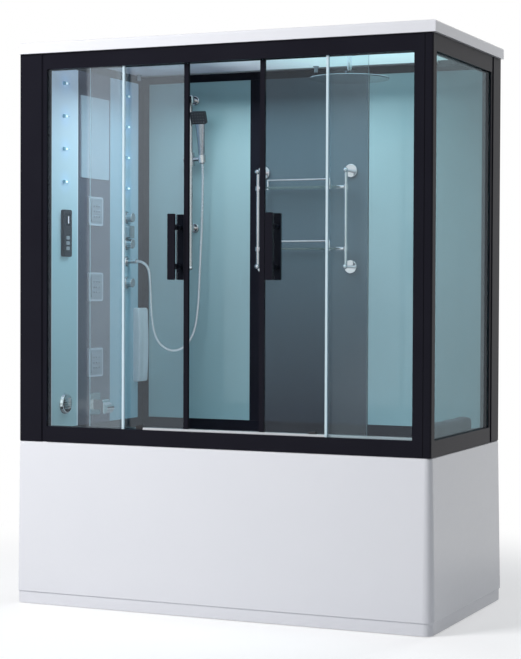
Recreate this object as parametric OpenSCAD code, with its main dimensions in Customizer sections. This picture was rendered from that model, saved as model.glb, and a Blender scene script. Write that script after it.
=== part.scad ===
// Steam shower cabin standing on a bathtub, with two sliding glass doors.
// Frame of reference: X to the right along the front, Y to the back, Z up.
// The origin is on the floor, under the middle of the cabin's outer box.

/* [Cabin] */
// Width of the framed cabin, from the wall side to the open right side
frame_w = 1700; // [1660:5:1800]
// Depth of the framed cabin, from the doors to the rear wall
frame_d = 850; // [830:5:950]
// Height of the whole cabin
cabin_h = 2200; // [2170:5:2260]
// How far the foot of the apron and the roof's rim stand proud of the frame
lip = 12; // [10:1:18]
// Running and assembly clearance between neighbouring pieces
fit_gap = 0.3; // [0.2:0.1:0.5]

/* [Bathtub] */
// Height of the bathtub's deck above the floor
tub_h = 640; // [620:5:660]
// Depth of the basin below the deck
basin_depth = 440; // [400:5:445]
// Thickness of the moulded shell
shell_t = 6; // [4:0.5:8]
// Deck width on the wall side, which carries the equipment wall
deck_left = 175; // [165:5:200]
// Deck width on the open right side
deck_right = 112; // [105:1:130]
// Deck width at the front
deck_front = 75; // [70:1:85]
// Deck width at the back
deck_back = 75; // [70:1:85]
// Corner radius of the basin's mouth
mouth_r = 110; // [95:5:125]
// Radius between the basin's floor and its walls
floor_r = 90; // [70:5:100]
// How far the floor is drawn in at the waste end
inset_waste = 70; // [50:5:90]
// How far the floor is drawn in at the backrest end
inset_back = 230; // [200:5:260]
// How far the floor is drawn in at each long side
inset_side = 60; // [45:5:75]
// Height of the turned-down edge of the deck
rim_fold = 40; // [30:1:50]
// Thickness of the board under the basin's floor
board_t = 16; // [12:1:22]
// Length of the headrest
headrest_len = 560; // [400:10:580]
// Height of the headrest above the deck
headrest_h = 104; // [90:1:115]

/* [Apron] */
// Radius of the apron's upright corner
apron_r = 25; // [22:1:32]
// Thickness of the apron
apron_t = 5; // [3:0.5:6]
// Radius of the shoulder under the frame
shoulder_r = 8; // [7:0.5:10]
// Height of the plinth
plinth_h = 50; // [40:1:70]
// Step back of the plinth behind the ridge above it
plinth_in = 5; // [3:0.5:6]
// Clear height between the apron and the floor
apron_lift = 2; // [1:0.5:5]

/* [Under frame] */
// Side of the square steel tube
tube = 30; // [25:1:35]
// Distance of the uprights from the faces of the cabin
upright_in = 30; // [25:1:34]
// Radius of a foot pad
pad_r = 28; // [22:1:32]
// Height of a foot pad
pad_h = 12; // [10:1:16]
// Radius of a foot's threaded stud
stud_r = 6; // [5:0.5:8]

/* [Waste] */
// Distance of the waste from the basin's left edge
waste_in = 235; // [215:5:300]
// Radius of the waste's flange
flange_r = 35; // [32:1:40]
// Radius of the waste outlet pipe
outlet_r = 20; // [16:1:25]
// Height of the outlet pipe's axis above the floor
outlet_z = 95; // [85:1:100]
// Depth of the overflow below the deck
overflow_drop = 75; // [65:1:95]
// Length of the outlet's spigot
spigot_l = 60; // [40:5:80]
// How far the plug rises when it opens
plug_lift = 8; // [6:1:10]

/* [Frame] */
// Height of the bottom rail
sill_h = 60; // [50:1:70]
// Height of the head rail
head_h = 63; // [60:1:75]
// Depth of the front rails, front to back
rail_d = 55; // [54:1:60]
// Thickness of the side rails
side_t = 40; // [36:1:46]
// Face width of the two posts that stand by a wall
wall_post_w = 98; // [80:1:110]
// Face width of the glazing sash along those posts
sash_w = 20; // [16:1:26]
// Step back of the sash behind the post's face
sash_step = 4; // [2:0.5:5]
// Face width of the free corner post
corner_w = 71; // [64:1:80]
// Wall thickness of the aluminium profiles
profile_t = 2.5; // [2:0.1:3.5]
// Height of the roof's rim
roof_h = 43; // [36:1:60]
// Depth of the ceiling's underside below the top of the frame
ceiling_drop = 5; // [3:1:12]

/* [Glass] */
// Thickness of all panes
glass_t = 6; // [5:0.5:8]
// Distance of the fixed panes from the front face
pane_in = 9; // [8:0.5:10]
// Visible width of each fixed front pane
pane_w = 337; // [320:1:345]
// How far a pane reaches into the slot of its profile
slot_d = 10; // [8:1:12]
// Width of the clear seal strip on a fixed pane's free edge
seal_w = 9; // [7:1:12]

/* [Doors] */
// Width of one door
door_w = 428; // [400:1:432]
// Distance of the doors' glass from the front face
door_in = 31; // [30.5:0.5:33]
// Distance between the left door and the middle, as it stands in the photograph
left_open = 151; // [1:0.5:178]
// Distance between the right door and the middle, as it stands in the photograph
right_open = 142.5; // [1:0.5:168]
// Clear height between the doors and the bottom rail
door_lift = 6; // [5:0.5:10]
// Width of the dark profile on a door's leading edge
edge_w = 20; // [16:1:24]
// Thickness of that profile
edge_t = 12; // [10:0.5:13]
// Radius at which a roller runs on its bead
roll_r = 9; // [8:0.1:9.5]
// Width of a roller
roller_w = 7; // [6:0.5:8]
// Distance of each hanger from the door's ends
hanger_in = 62; // [50:1:90]

/* [Door handles] */
// Height of the middle of the handles
handle_z = 1400; // [1200:5:1500]
// Length of a handle bar
handle_len = 250; // [200:5:300]
// Width of a handle bar
handle_w = 30; // [24:1:34]
// Thickness of a handle bar
handle_t = 10; // [8:0.5:12]
// Spacing of the two studs of a handle
handle_pitch = 150; // [100:5:180]
// Radius of a handle's studs
handle_stud_r = 8; // [6:0.5:10]
// Distance of the handles from the door's leading edge
handle_in = 55; // [45:1:70]

/* [Equipment wall] */
// Thickness of the equipment wall
wall_t = 115; // [110:1:130]
// Thickness of the wall panels
panel_t = 8; // [6:0.5:10]
// Width of the front lit panel
lit_front_w = 215; // [200:1:225]
// Width of the dark centre panel
dark_w = 270; // [260:1:285]
// Width of the rear lit panel
lit_rear_w = 251; // [240:1:260]
// Height of the dark band under the panels
low_band = 46; // [40:1:55]
// Height of the dark band over the panels
top_band = 38; // [32:1:42]
// Distance of the top light wedges below the top of the panels
wedge_down = 64; // [50:1:80]
// Distance of the lowest light wedges above the control panel
wedge_up = 111.5; // [90:0.5:120]
// Distance of the front row of wedges from the cabin's front
wedge_front = 150; // [130:1:170]
// Distance of the shower column from the cabin's front
column_in = 675; // [650:1:700]
// Width of the mirror
mirror_w = 232; // [200:1:245]
// Distance of the mirror above the top back jet
mirror_up = 74; // [60:1:90]
// Distance of the mirror's top below the top of the panels
mirror_down = 97; // [80:1:120]
// Side of a back jet's plate
jet_w = 118; // [90:1:125]
// Height of the lowest back jet
jet_z = 937; // [900:1:960]
// Spacing of the back jets
jet_step = 310; // [200:1:315]
// Side of the nozzle field on a jet
jet_field = 84; // [60:1:88]

/* [Controls] */
// Width of the control panel
panel_w = 62; // [56:1:80]
// Height of the control panel
panel_h = 187; // [170:1:200]
// Thickness of the control panel
control_t = 14; // [12:1:18]
// Height of the middle of the control panel
control_z = 1460; // [1400:5:1500]
// Travel of a key
key_travel = 0.8; // [0.6:0.1:1]
// Height of the upper tap knob
diverter_z = 1542; // [1530:1:1560]
// Height of the middle tap knob
mixer_z = 1430; // [1420:1:1440]
// Height of the lower tap knob
flow_z = 1265; // [1240:1:1290]
// Height of the hose outlet
outlet_hose_z = 1356; // [1335:1:1370]
// Radius of the tap knobs
knob_r = 20; // [17:0.5:23]
// Reach of the hose outlet from the wall
hose_reach = 45; // [40:1:60]
// Radius of a supply thread
supply_r = 10.5; // [10.45:0.01:10.6]
// Free length of a supply thread
supply_len = 16; // [14:1:18]
// Height of the massage pad's middle
pad_z = 999; // [960:1:1020]
// Height of the massage pad
back_pad_h = 316; // [280:1:330]
// Width of the massage pad
back_pad_w = 87; // [70:1:87]
// Thickness of the massage pad
back_pad_t = 30; // [24:1:40]

/* [Rear wall] */
// Thickness of the rear wall
rear_t = 25; // [22:1:30]
// Width of the dark corner profile on the rear wall
corner_trim = 28; // [24:1:34]
// Width of the left rear pane
rear_pane_w = 478; // [460:1:490]
// Width of the upright beside that pane
mullion_w = 68; // [50:1:75]
// Width of the slate centre panel
slate_w = 460; // [440:1:470]
// Width of the narrow upright at the right of the centre panel
slim_w = 5; // [4:0.5:8]
// Distance of the riser rail from the left face
riser_x = 363; // [340:1:380]
// Height of the riser rail's foot bracket
riser_z = 1499; // [1480:1:1520]
// Distance of the riser rail's top bracket below the top of the panels
riser_down = 77; // [60:1:110]
// Radius of the riser rail
riser_r = 9; // [8:0.5:12.5]
// Distance of the riser rail's axis from the rear wall
riser_out = 42; // [38:1:50]
// Distance of the hand shower's holder below the top bracket
holder_down = 252; // [245:1:290]
// Distance of the left shelf post from the left face
shelf_left = 685; // [660:1:700]
// Distance of the right shelf post from the left face
shelf_right = 1077; // [1060:1:1100]
// Height of the upper shelf
shelf_high = 1655; // [1640:1:1670]
// Height of the lower shelf
shelf_low = 1403; // [1380:1:1420]
// Depth of the shelves
shelf_d = 90; // [80:1:110]
// Rise of the gallery rail above its shelf
gallery_h = 35; // [24:1:40]
// Distance of the gallery rail's ends from the posts
gallery_in = 59; // [45:1:80]

/* [Ceiling] */
// Distance of the rain shower from the left face
rain_x = 1225; // [1150:5:1300]
// Distance of the rain shower from the front face
rain_y = 410; // [380:5:440]
// Radius of the rain shower
rain_r = 155; // [120:5:160]
// Distance of the rain shower's face below the ceiling
rain_drop = 100; // [90:1:110]
// Radius of a ceiling light's flange
spot_r = 12; // [11:0.5:16]
// Length of a ceiling light below the ceiling
spot_h = 26; // [20:1:32]
// Distance of the left ceiling light from the left face
spot_left = 139; // [130:1:160]
// Distance of the right ceiling light from the right face
spot_right = 746; // [700:1:800]
// Distance of both lights from the back
spot_back = 115; // [80:1:140]
// Side of the extractor's grille
fan_w = 70; // [60:1:80]
// Height of the grille below the ceiling
fan_h = 22; // [16:1:30]
// Distance of the extractor from the right face
fan_right = 194; // [150:1:220]
// Distance of the extractor from the back
fan_back = 75; // [70:1:110]

/* [Hidden] */
$fn = 64;

// Faces of the framed cabin
xl = -(frame_w + lip) / 2;
xr = xl + frame_w;
yb = (frame_d + lip) / 2;
yf = yb - frame_d;
yc = (yf + yb) / 2;
z_sill = tub_h + sill_h;
z_roof = cabin_h - roof_h;
z_head = z_roof - head_h;
// Inner face of the equipment wall and of the rear wall
wall_x = xl + wall_t;
rear_y = yb - rear_t;
// Inner ends of the posts on the front, and the middle between them
post_w = wall_post_w + sash_w;
open_l = xl + post_w;
open_r = xr - corner_w;
mid_x = (open_l + open_r) / 2;
// Seam between the deck and the apron's shoulder, behind the frame's faces
seam_in = shoulder_r + 4;
// Basin
mouth_l = xl + deck_left;
mouth_rt = xr - deck_right;
mouth_f = yf + deck_front;
mouth_b = yb - deck_back;
floor_z = tub_h - basin_depth;
board_z = floor_z - shell_t - board_t;
// Slope of the basin's wall at the waste end, from the mouth's edge to the floor's curve
slope_run = inset_waste + floor_r;
slope_drop = basin_depth - floor_r;
slope_reach = sqrt(slope_run * slope_run + slope_drop * slope_drop);
wall_lean = 90 - atan(slope_drop / slope_run) - asin(floor_r / slope_reach);
overflow_x = mouth_l + overflow_drop * tan(wall_lean);
overflow_z = tub_h - overflow_drop;
waste_x = mouth_l + waste_in;
// Panel zone of the walls
panel_z0 = tub_h + low_band;
panel_z1 = z_roof - top_band;
wedge_z = control_z + panel_h / 2 + wedge_up;
wedge_step = (panel_z1 - wedge_down - wedge_z) / 3;
mirror_z0 = jet_z + 2 * jet_step + jet_w / 2 + mirror_up;
mirror_h = panel_z1 - mirror_down - mirror_z0;
riser_top = panel_z1 - riser_down;
holder_z = riser_top - holder_down;
// Door gear inside the head rail
channel_y0 = 24;
channel_y1 = rail_d - 2;
channel_h = 36;
ledge_y = 40;
ledge_t = 4;
bead_r = 2;
bead_y = 46;
axle_r = 2.5;
axle_gap = 0.06;
roller_z = z_head + ledge_t + bead_r + roll_r;
hanger_w = 44;
hanger_h = 20;
hanger_bite = 14;
hanger_z = z_head + ledge_t + bead_r;
door_z0 = z_sill + door_lift;
door_z1 = hanger_z + hanger_bite;
door_stroke = 318.5;
left_lead = mid_x - left_open;
right_lead = mid_x + right_open;
guide_at = 358;
guide_l = 28;
// Ceiling and what hangs from it
ceiling_z = z_roof - ceiling_drop;
spot_at = [[xl + spot_left, yb - spot_back], [xr - spot_right, yb - spot_back]];
spot_neck = spot_r - 4;
fan_at = [xr - fan_right, yb - fan_back];
rain_z = ceiling_z - rain_drop;
ball_z = rain_z + 22;
ball_r = 11;
// Hand shower
rail_y = rear_y - riser_out;
hand_x = xl + riser_x + 57;
hand_y = rear_y - 50;
hand_lean = 8;
// Shower hose: its middle line, from the wall outlet to the hand shower's foot
hose_r = 6;
hose_route = [
    [-695.7, 256, 1356], [-691, 256, 1356], [-686, 256, 1356], [-670, 258, 1352],
    [-655, 262, 1342], [-645, 267, 1325], [-641, 271, 1304], [-639, 274, 1262],
    [-638, 277, 1212], [-637, 279, 1160], [-634, 282, 1110], [-628, 286, 1066],
    [-617, 291, 1030], [-600, 297, 1003], [-578, 304, 986], [-554, 313, 978],
    [-528, 323, 982], [-504, 332, 997], [-484, 340, 1022], [-469, 346, 1056],
    [-460, 351, 1096], [-455, 355, 1145], [-451, 358, 1205], [-449, 360, 1275],
    [-446, 362, 1355], [-443, 364, 1440], [-440, 365, 1530], [-438, 365, 1620],
    [-436, 364, 1700], [-436, 361.6, 1750], [-436, 360.2, 1760], [-436, 358.8, 1769.9]
];
hose_steps = 2;
hose_sides = 10;

function arc(cx, cy, r, a0, a1, n = 6) =
    [for (i = [0 : n]) [cx + r * cos(a0 + (a1 - a0) * i / n), cy + r * sin(a0 + (a1 - a0) * i / n)]];
function cross3(a, b) = [
    a[1] * b[2] - a[2] * b[1],
    a[2] * b[0] - a[0] * b[2],
    a[0] * b[1] - a[1] * b[0]
];
function unit(v) = v / norm(v);
function at_end(list, i) = list[max(0, min(len(list) - 1, i))];
// A point on the smooth curve through the route, between points i and i + 1
function on_curve(p, i, t) =
    let (a = at_end(p, i - 1), b = p[i], c = at_end(p, i + 1), d = at_end(p, i + 2))
    0.5 * (2 * b + (c - a) * t + (2 * a - 5 * b + 4 * c - d) * t * t
        + (3 * b - a - 3 * c + d) * t * t * t);
hose_line = concat(
    [for (i = [0 : len(hose_route) - 2]) for (k = [0 : hose_steps - 1])
        on_curve(hose_route, i, k / hose_steps)],
    [hose_route[len(hose_route) - 1]]
);
function hose_heading(i) = unit(at_end(hose_line, i + 1) - at_end(hose_line, i - 1));
// Side vector of each ring: the hose turns mostly in one upright plane, whose normal it keeps to
hose_side = unit([-0.37, 0.93, 0]);
function hose_ring(i) =
    let (h = hose_heading(i), u = unit(cross3(h, hose_side)), v = cross3(u, h))
    [for (k = [0 : hose_sides - 1])
        hose_line[i] + hose_r * (cos(360 * k / hose_sides) * u + sin(360 * k / hose_sides) * v)];

// Places children on the equipment wall: X to the back, Y up, Z into the cabin
module on_wall(along, z) translate([wall_x, yf + along, z]) rotate([90, 0, 90]) children();
// Places children on the rear wall: X to the right, Y up, Z into the cabin
module on_rear(along, z) translate([xl + along, rear_y, z]) rotate([90, 0, 0]) children();
// A box given by its lowest and highest corners
module span(a, b) translate(a) cube(b - a);
// A flat plate with rounded corners, centred on its origin
module plate(w, h, t, r) {
    linear_extrude(t) {
        square([w - 2 * r, h], center = true);
        square([w, h - 2 * r], center = true);
        for (sx = [-1, 1]) for (sy = [-1, 1])
            translate([sx * (w / 2 - r), sy * (h / 2 - r)]) circle(r);
    }
}

// Bathtub

module basin_hull(grow) {
    hull() {
        for (x = [mouth_l + mouth_r, mouth_rt - mouth_r]) for (y = [mouth_f + mouth_r, mouth_b - mouth_r])
            translate([x, y, tub_h - 1]) cylinder(r = mouth_r + grow, h = 1, $fn = 32);
        for (x = [mouth_l + inset_waste + floor_r, mouth_rt - inset_back - floor_r])
            for (y = [mouth_f + inset_side + floor_r, mouth_b - inset_side - floor_r])
                translate([x, y, floor_z + floor_r]) {
                    sphere(r = floor_r + grow, $fn = 32);
                    translate([0, 0, -floor_r - grow]) cylinder(r = floor_r / 9, h = 1, $fn = 32);
                }
    }
}

module deck_outline() {
    translate([xl, yf + seam_in]) square([frame_w - apron_r, frame_d - seam_in]);
    translate([xr - apron_r - 1, yf + apron_r]) square([apron_r - seam_in + 1, frame_d - apron_r]);
    translate([xr - apron_r, yf + apron_r]) circle(apron_r - seam_in);
}

module bathtub() {
    color([0.95, 0.95, 0.97]) difference() {
        union() {
            translate([0, 0, tub_h - shell_t]) linear_extrude(shell_t) deck_outline();
            basin_hull(shell_t);
            // Turned-down edges on the two wall sides
            span([xl, yf + seam_in, tub_h - rim_fold], [xl + shell_t, yb, tub_h]);
            span([xl, yb - shell_t, tub_h - rim_fold], [xr - seam_in, yb, tub_h]);
            // Board that stiffens the floor
            span([waste_x - 60, yc - 190, board_z], [mouth_rt - inset_back - floor_r, yc + 190, floor_z - 1]);
        }
        basin_hull(0);
        translate([0, 0, tub_h - 0.5]) linear_extrude(2) mouth_outline();
        translate([waste_x, yc, board_z - 1]) cylinder(r = outlet_r + 6, h = basin_depth);
        translate([overflow_x, yc, overflow_z]) rotate([0, 90 - wall_lean, 0])
            translate([0, 0, -20]) cylinder(r = outlet_r, h = 40);
    }
}

// Outline of the basin's mouth
module mouth_outline() {
    for (x = [mouth_l + mouth_r, mouth_rt - mouth_r]) for (y = [mouth_f + mouth_r, mouth_b - mouth_r])
        translate([x, y]) circle(mouth_r, $fn = 32);
    translate([mouth_l + mouth_r, mouth_f])
        square([mouth_rt - mouth_l - 2 * mouth_r, mouth_b - mouth_f]);
    translate([mouth_l, mouth_f + mouth_r])
        square([mouth_rt - mouth_l, mouth_b - mouth_f - 2 * mouth_r]);
}

// Apron: X of the outline is the distance out from the frame's face

module apron_section() {
    out = lip;
    foot = lip - plinth_in;
    inner_r = shoulder_r - apron_t;
    polygon(concat(
        [[-seam_in + fit_gap, tub_h]],
        arc(-shoulder_r, tub_h - shoulder_r, shoulder_r, 90, 2),
        [[out, plinth_h + 3]],
        arc(out - 2, plinth_h, 2, 0, -90, 3),
        [[foot, plinth_h - 2], [foot, apron_lift]],
        [[foot - apron_t, apron_lift], [foot - apron_t, plinth_h - 2 - apron_t]],
        [[out - apron_t, plinth_h + 3]],
        arc(-shoulder_r, tub_h - shoulder_r, inner_r, 2, 90, 4),
        [[-seam_in + fit_gap, tub_h - apron_t]]
    ));
}

module apron() {
    color([0.95, 0.95, 0.97]) {
        translate([xr - apron_r, yf + apron_r, 0]) rotate([90, 0, -90])
            linear_extrude(frame_w - apron_r) translate([apron_r, 0]) apron_section();
        translate([xr, yb, 0]) rotate([90, 0, 0]) linear_extrude(frame_d - apron_r) apron_section();
        translate([xr - apron_r, yf + apron_r, 0]) rotate([0, 0, -90])
            rotate_extrude(angle = 90) translate([apron_r, 0]) apron_section();
    }
}

// Welded steel frame: two long tubes, three cross tubes over them and six uprights
upright_x = [xl + upright_in + tube / 2, (xl + xr) / 2, xr - upright_in - tube / 2];
upright_y = [yf + upright_in + tube / 2, yb - upright_in - tube / 2];
long_y = [yc - 165, yc + 165];

module support_frame() {
    color([0.55, 0.57, 0.6]) {
        for (x = upright_x) {
            span([x - tube / 2, yf + upright_in, board_z - tube],
                [x + tube / 2, yb - upright_in, board_z]);
            for (y = upright_y)
                span([x - tube / 2, y - tube / 2, board_z + fit_gap],
                    [x + tube / 2, y + tube / 2, tub_h - shell_t]);
        }
        for (y = long_y)
            span([xl + upright_in, y - tube / 2, board_z - 2 * tube - fit_gap],
                [xr - upright_in, y + tube / 2, board_z - tube - fit_gap]);
    }
}

module levelling_feet() {
    color([0.25, 0.25, 0.27]) for (x = upright_x) for (y = upright_y) translate([x, y, 0]) {
        rotate_extrude() polygon([
            [0, 0], [pad_r, 0], [pad_r, pad_h / 3], [stud_r + 5, pad_h],
            [stud_r, pad_h], [stud_r, board_z - tube], [0, board_z - tube]
        ]);
        translate([0, 0, board_z - tube - 10]) cylinder(r = stud_r * 1.9, h = 10, $fn = 6);
    }
}

// Waste, trap and overflow

plug_seat_z = floor_z + 3;

module waste_and_overflow() {
    trap_z0 = outlet_z - 42;
    trap_z1 = board_z - 8;
    pipe_x = mouth_l - 16;
    color([0.8, 0.82, 0.84]) {
        // Flange and tail of the waste, hollow for the plug's stem
        translate([waste_x, yc, 0]) difference() {
            union() {
                rotate_extrude() polygon([
                    [0, trap_z1], [outlet_r + 5, trap_z1], [outlet_r + 5, floor_z],
                    [flange_r, floor_z], [flange_r - 2, plug_seat_z - 1], [flange_r - 5, plug_seat_z],
                    [0, plug_seat_z]
                ]);
                translate([0, 0, trap_z0]) cylinder(r = outlet_r + 18, h = trap_z1 - trap_z0);
                translate([0, 0, outlet_z]) rotate([-90, 0, 0]) {
                    cylinder(r = outlet_r - 2, h = frame_d / 2 - 30 - spigot_l);
                    translate([0, 0, frame_d / 2 - 30 - spigot_l]) cylinder(r = outlet_r, h = spigot_l);
                }
            }
            translate([0, 0, trap_z1 + 6]) cylinder(r = outlet_r, h = basin_depth);
        }
        // Faceplate and neck of the overflow, square to the basin's wall
        translate([overflow_x, yc, overflow_z]) rotate([0, 90 - wall_lean, 0]) {
            translate([0, 0, fit_gap]) cylinder(r = 33, h = 4);
            translate([0, 0, -20]) cylinder(r = outlet_r - 2, h = 20.5);
            translate([0, 0, -shell_t - 4 - 2 * fit_gap]) cylinder(r = 28, h = 4);
        }
        translate([pipe_x, yc, outlet_z + 20]) cylinder(r = 11, h = overflow_z - outlet_z - 22);
        translate([pipe_x, yc, overflow_z - 2]) sphere(r = 16);
        translate([pipe_x, yc, outlet_z + 20]) sphere(r = 11);
        translate([pipe_x, yc, outlet_z + 20]) rotate([0, 90, 0])
            cylinder(r = 11, h = waste_x - pipe_x - outlet_r);
    }
}

// Pop-up plug, whose guide wings stay in the waste when it is up
module waste_plug() {
    wing_h = plug_lift + 1;
    color([0.85, 0.87, 0.9]) translate([waste_x, yc, plug_seat_z + fit_gap]) {
        rotate_extrude() polygon(concat(
            [[0, 0], [outlet_r + 6, 0]], arc(outlet_r + 6, 2, 2, -90, 90, 4), [[0, 5.5]]
        ));
        translate([0, 0, -wing_h - 3]) cylinder(r = 4, h = wing_h + 3);
        for (a = [0, 90]) rotate([0, 0, a]) translate([-outlet_r + 1, -1, -wing_h])
            cube([2 * outlet_r - 2, 2, wing_h]);
    }
}

module overflow_knob() {
    color([0.85, 0.87, 0.9]) translate([overflow_x, yc, overflow_z]) rotate([0, 90 - wall_lean, 0])
        translate([0, 0, 4 + 2 * fit_gap]) difference() {
            rotate_extrude() polygon(concat(
                [[0, 0], [28, 0]], arc(25, 11, 3, 0, 90, 4), [[0, 14]]
            ));
            for (s = [-1, 1]) translate([-30, s * 17 - 7, 7]) cube([60, 14, 10]);
        }
}

// Soft headrest on the deck at the backrest end
module headrest() {
    back = xr - rail_d - 6;
    nose = mouth_rt - 30;
    r = 14;
    z0 = tub_h + fit_gap;
    color([0.3, 0.3, 0.33]) hull() for (s = [-1, 1]) translate([0, yc + s * (headrest_len / 2 - r), 0]) {
        translate([back - r, 0, z0 + headrest_h - r]) sphere(r, $fn = 24);
        translate([back - r - 16, 0, z0 + headrest_h - r]) sphere(r, $fn = 24);
        translate([back - r, -s * 22, z0 + r]) sphere(r, $fn = 24);
        translate([nose + 26, -s * 22, z0 + r]) sphere(r, $fn = 24);
        translate([nose + 18, -s * 10, z0 + headrest_h * 0.45]) sphere(r, $fn = 24);
    }
}

// Frame of the cabin. The outlines below have X along the face and Y to the inside.

module wall_post_section() {
    slot_y = pane_in - fit_gap;
    difference() {
        union() {
            square([wall_post_w - 2, side_t]);
            translate([wall_post_w - 3, 2]) square([4, side_t - 2]);
            translate([wall_post_w, sash_step]) square([sash_w, side_t - sash_step]);
        }
        translate([post_w - slot_d - fit_gap, slot_y]) square([slot_d + 1, glass_t + 2 * fit_gap]);
        translate([profile_t, profile_t]) square([wall_post_w / 2 - 1.5 * profile_t, side_t - 2 * profile_t]);
        translate([wall_post_w / 2 + profile_t / 2, profile_t])
            square([wall_post_w / 2 - 1.5 * profile_t - 3, side_t - 2 * profile_t]);
        translate([wall_post_w + 1, slot_y + glass_t + 3])
            square([sash_w - 1 - profile_t, side_t - slot_y - glass_t - 3 - profile_t]);
    }
}

module wall_posts() {
    color([0.11, 0.11, 0.14]) {
        translate([xl, yf, tub_h]) linear_extrude(z_roof - tub_h) wall_post_section();
        translate([xr, yb, tub_h]) linear_extrude(z_roof - tub_h)
            rotate(90) mirror([1, 0]) wall_post_section();
    }
}

module corner_post() {
    slot_at = pane_in - fit_gap;
    slot_w = glass_t + 2 * fit_gap;
    color([0.11, 0.11, 0.14]) translate([xr, yf, tub_h]) mirror([1, 0, 0])
        linear_extrude(z_roof - tub_h) difference() {
            polygon(concat(
                arc(8, 8, 8, 180, 270),
                [[corner_w, 0], [corner_w, rail_d], [side_t, rail_d], [side_t, side_t], [0, side_t]]
            ));
            // Slots for the front pane and the side pane
            translate([corner_w - slot_d - fit_gap, slot_at]) square([slot_d + 1, slot_w]);
            translate([slot_at, side_t - slot_d - fit_gap]) square([slot_w, slot_d + 1]);
            // Shadow line on the face, and the hollows of the profile
            translate([29, -1]) square([3, 3]);
            translate([slot_at + slot_w + profile_t, 8]) square([8, side_t - 8 - profile_t]);
            translate([slot_at + slot_w + profile_t + 10, slot_at + slot_w + profile_t])
                square([corner_w, side_t] - (slot_at + slot_w + 2 * profile_t) * [1, 1] - [10, 0]);
        }
}

// Head rail: pane slot, open door channel with its ledge and bead, and a hollow above
module head_rail_section() {
    difference() {
        square([rail_d, head_h]);
        translate([pane_in - fit_gap, -1]) square([glass_t + 2 * fit_gap, slot_d + fit_gap + 1]);
        translate([channel_y0, ledge_t]) square([channel_y1 - channel_y0, channel_h - ledge_t]);
        translate([channel_y0, -1]) square([ledge_y - channel_y0, ledge_t + 2]);
        translate([profile_t, channel_h + profile_t])
            square([rail_d - 2 * profile_t, head_h - channel_h - 2 * profile_t]);
        translate([profile_t, slot_d + 4]) square([channel_y0 - 2 * profile_t, channel_h - slot_d - 4]);
    }
    translate([bead_y, ledge_t]) circle(bead_r);
}

module front_head_rail() {
    color([0.11, 0.11, 0.14]) translate([open_l, yf, z_head]) rotate([90, 0, 90])
        linear_extrude(open_r - open_l) head_rail_section();
}

module front_sill_rail() {
    color([0.11, 0.11, 0.14]) translate([open_l, yf, tub_h]) rotate([90, 0, 90])
        linear_extrude(open_r - open_l) difference() {
            square([rail_d, sill_h]);
            translate([pane_in - fit_gap, sill_h - slot_d - fit_gap])
                square([glass_t + 2 * fit_gap, slot_d + 1]);
            translate([profile_t, profile_t])
                square([rail_d - 2 * profile_t, sill_h - slot_d - 3 * profile_t - fit_gap]);
            translate([pane_in + glass_t + 4, sill_h - slot_d - profile_t])
                square([rail_d - pane_in - glass_t - 4 - profile_t, slot_d]);
        }
}

module side_rails() {
    y0 = yf + side_t;
    len = frame_d - side_t - post_w;
    slot_at = pane_in - fit_gap;
    slot_w = glass_t + 2 * fit_gap;
    color([0.11, 0.11, 0.14]) {
        translate([xr, y0, tub_h]) rotate([90, 0, 180])
            linear_extrude(len) difference() {
                square([side_t, sill_h]);
                translate([slot_at, sill_h - slot_d - fit_gap]) square([slot_w, slot_d + 1]);
                translate([profile_t, profile_t])
                    square([side_t - 2 * profile_t, sill_h - slot_d - 2 * profile_t - fit_gap]);
            }
        translate([xr, y0, z_head]) rotate([90, 0, 180])
            linear_extrude(len) difference() {
                square([side_t, head_h]);
                translate([slot_at, -1]) square([slot_w, slot_d + fit_gap + 1]);
                translate([profile_t, slot_d + profile_t + fit_gap])
                    square([side_t - 2 * profile_t, head_h - slot_d - 2 * profile_t - fit_gap]);
            }
    }
}

// Fixed panes and their seals

module fixed_glass() {
    color([0.72, 0.86, 0.88, 0.35]) {
        span([open_l - slot_d, yf + pane_in, z_sill - slot_d],
            [open_l + pane_w, yf + pane_in + glass_t, z_head + slot_d]);
        span([open_r - pane_w, yf + pane_in, z_sill - slot_d],
            [open_r + slot_d, yf + pane_in + glass_t, z_head + slot_d]);
    }
}

module side_glass() {
    color([0.6, 0.78, 0.8, 0.35])
        span([xr - pane_in - glass_t, yf + side_t - slot_d, z_sill - slot_d],
            [xr - pane_in, yb - post_w + slot_d, z_head + slot_d]);
}

// Clear channel over the free edge of each fixed front pane
module glass_seals() {
    bite = 6;
    wall = 1.8;
    color([0.9, 0.97, 0.98, 0.5]) for (side = [0, 1])
        translate([side == 0 ? open_l + pane_w : open_r - pane_w, yf + pane_in, z_sill + fit_gap])
            mirror([side, 0, 0]) linear_extrude(z_head - z_sill - 2 * fit_gap) difference() {
                translate([-bite, -wall]) square([seal_w, glass_t + 2 * wall]);
                translate([-bite - 1, 0]) square([bite + 1, glass_t]);
            }
}

// Doors. Each is drawn from its leading edge: X runs to the trailing edge, Z is the cabin's height.

module at_door(side) {
    translate([side == 0 ? left_lead : right_lead, yf, 0]) mirror([side == 0 ? 1 : 0, 0, 0]) children();
}

module door_glass(side) {
    color([0.72, 0.86, 0.88, 0.35]) at_door(side) difference() {
        span([edge_w - 12, door_in, door_z0], [door_w, door_in + glass_t, door_z1]);
        for (s = [-1, 1]) translate([handle_in, door_in - 1, handle_z + s * handle_pitch / 2])
            rotate([-90, 0, 0]) cylinder(r = handle_stud_r - 3 + fit_gap, h = glass_t + 2);
    }
}

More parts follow.
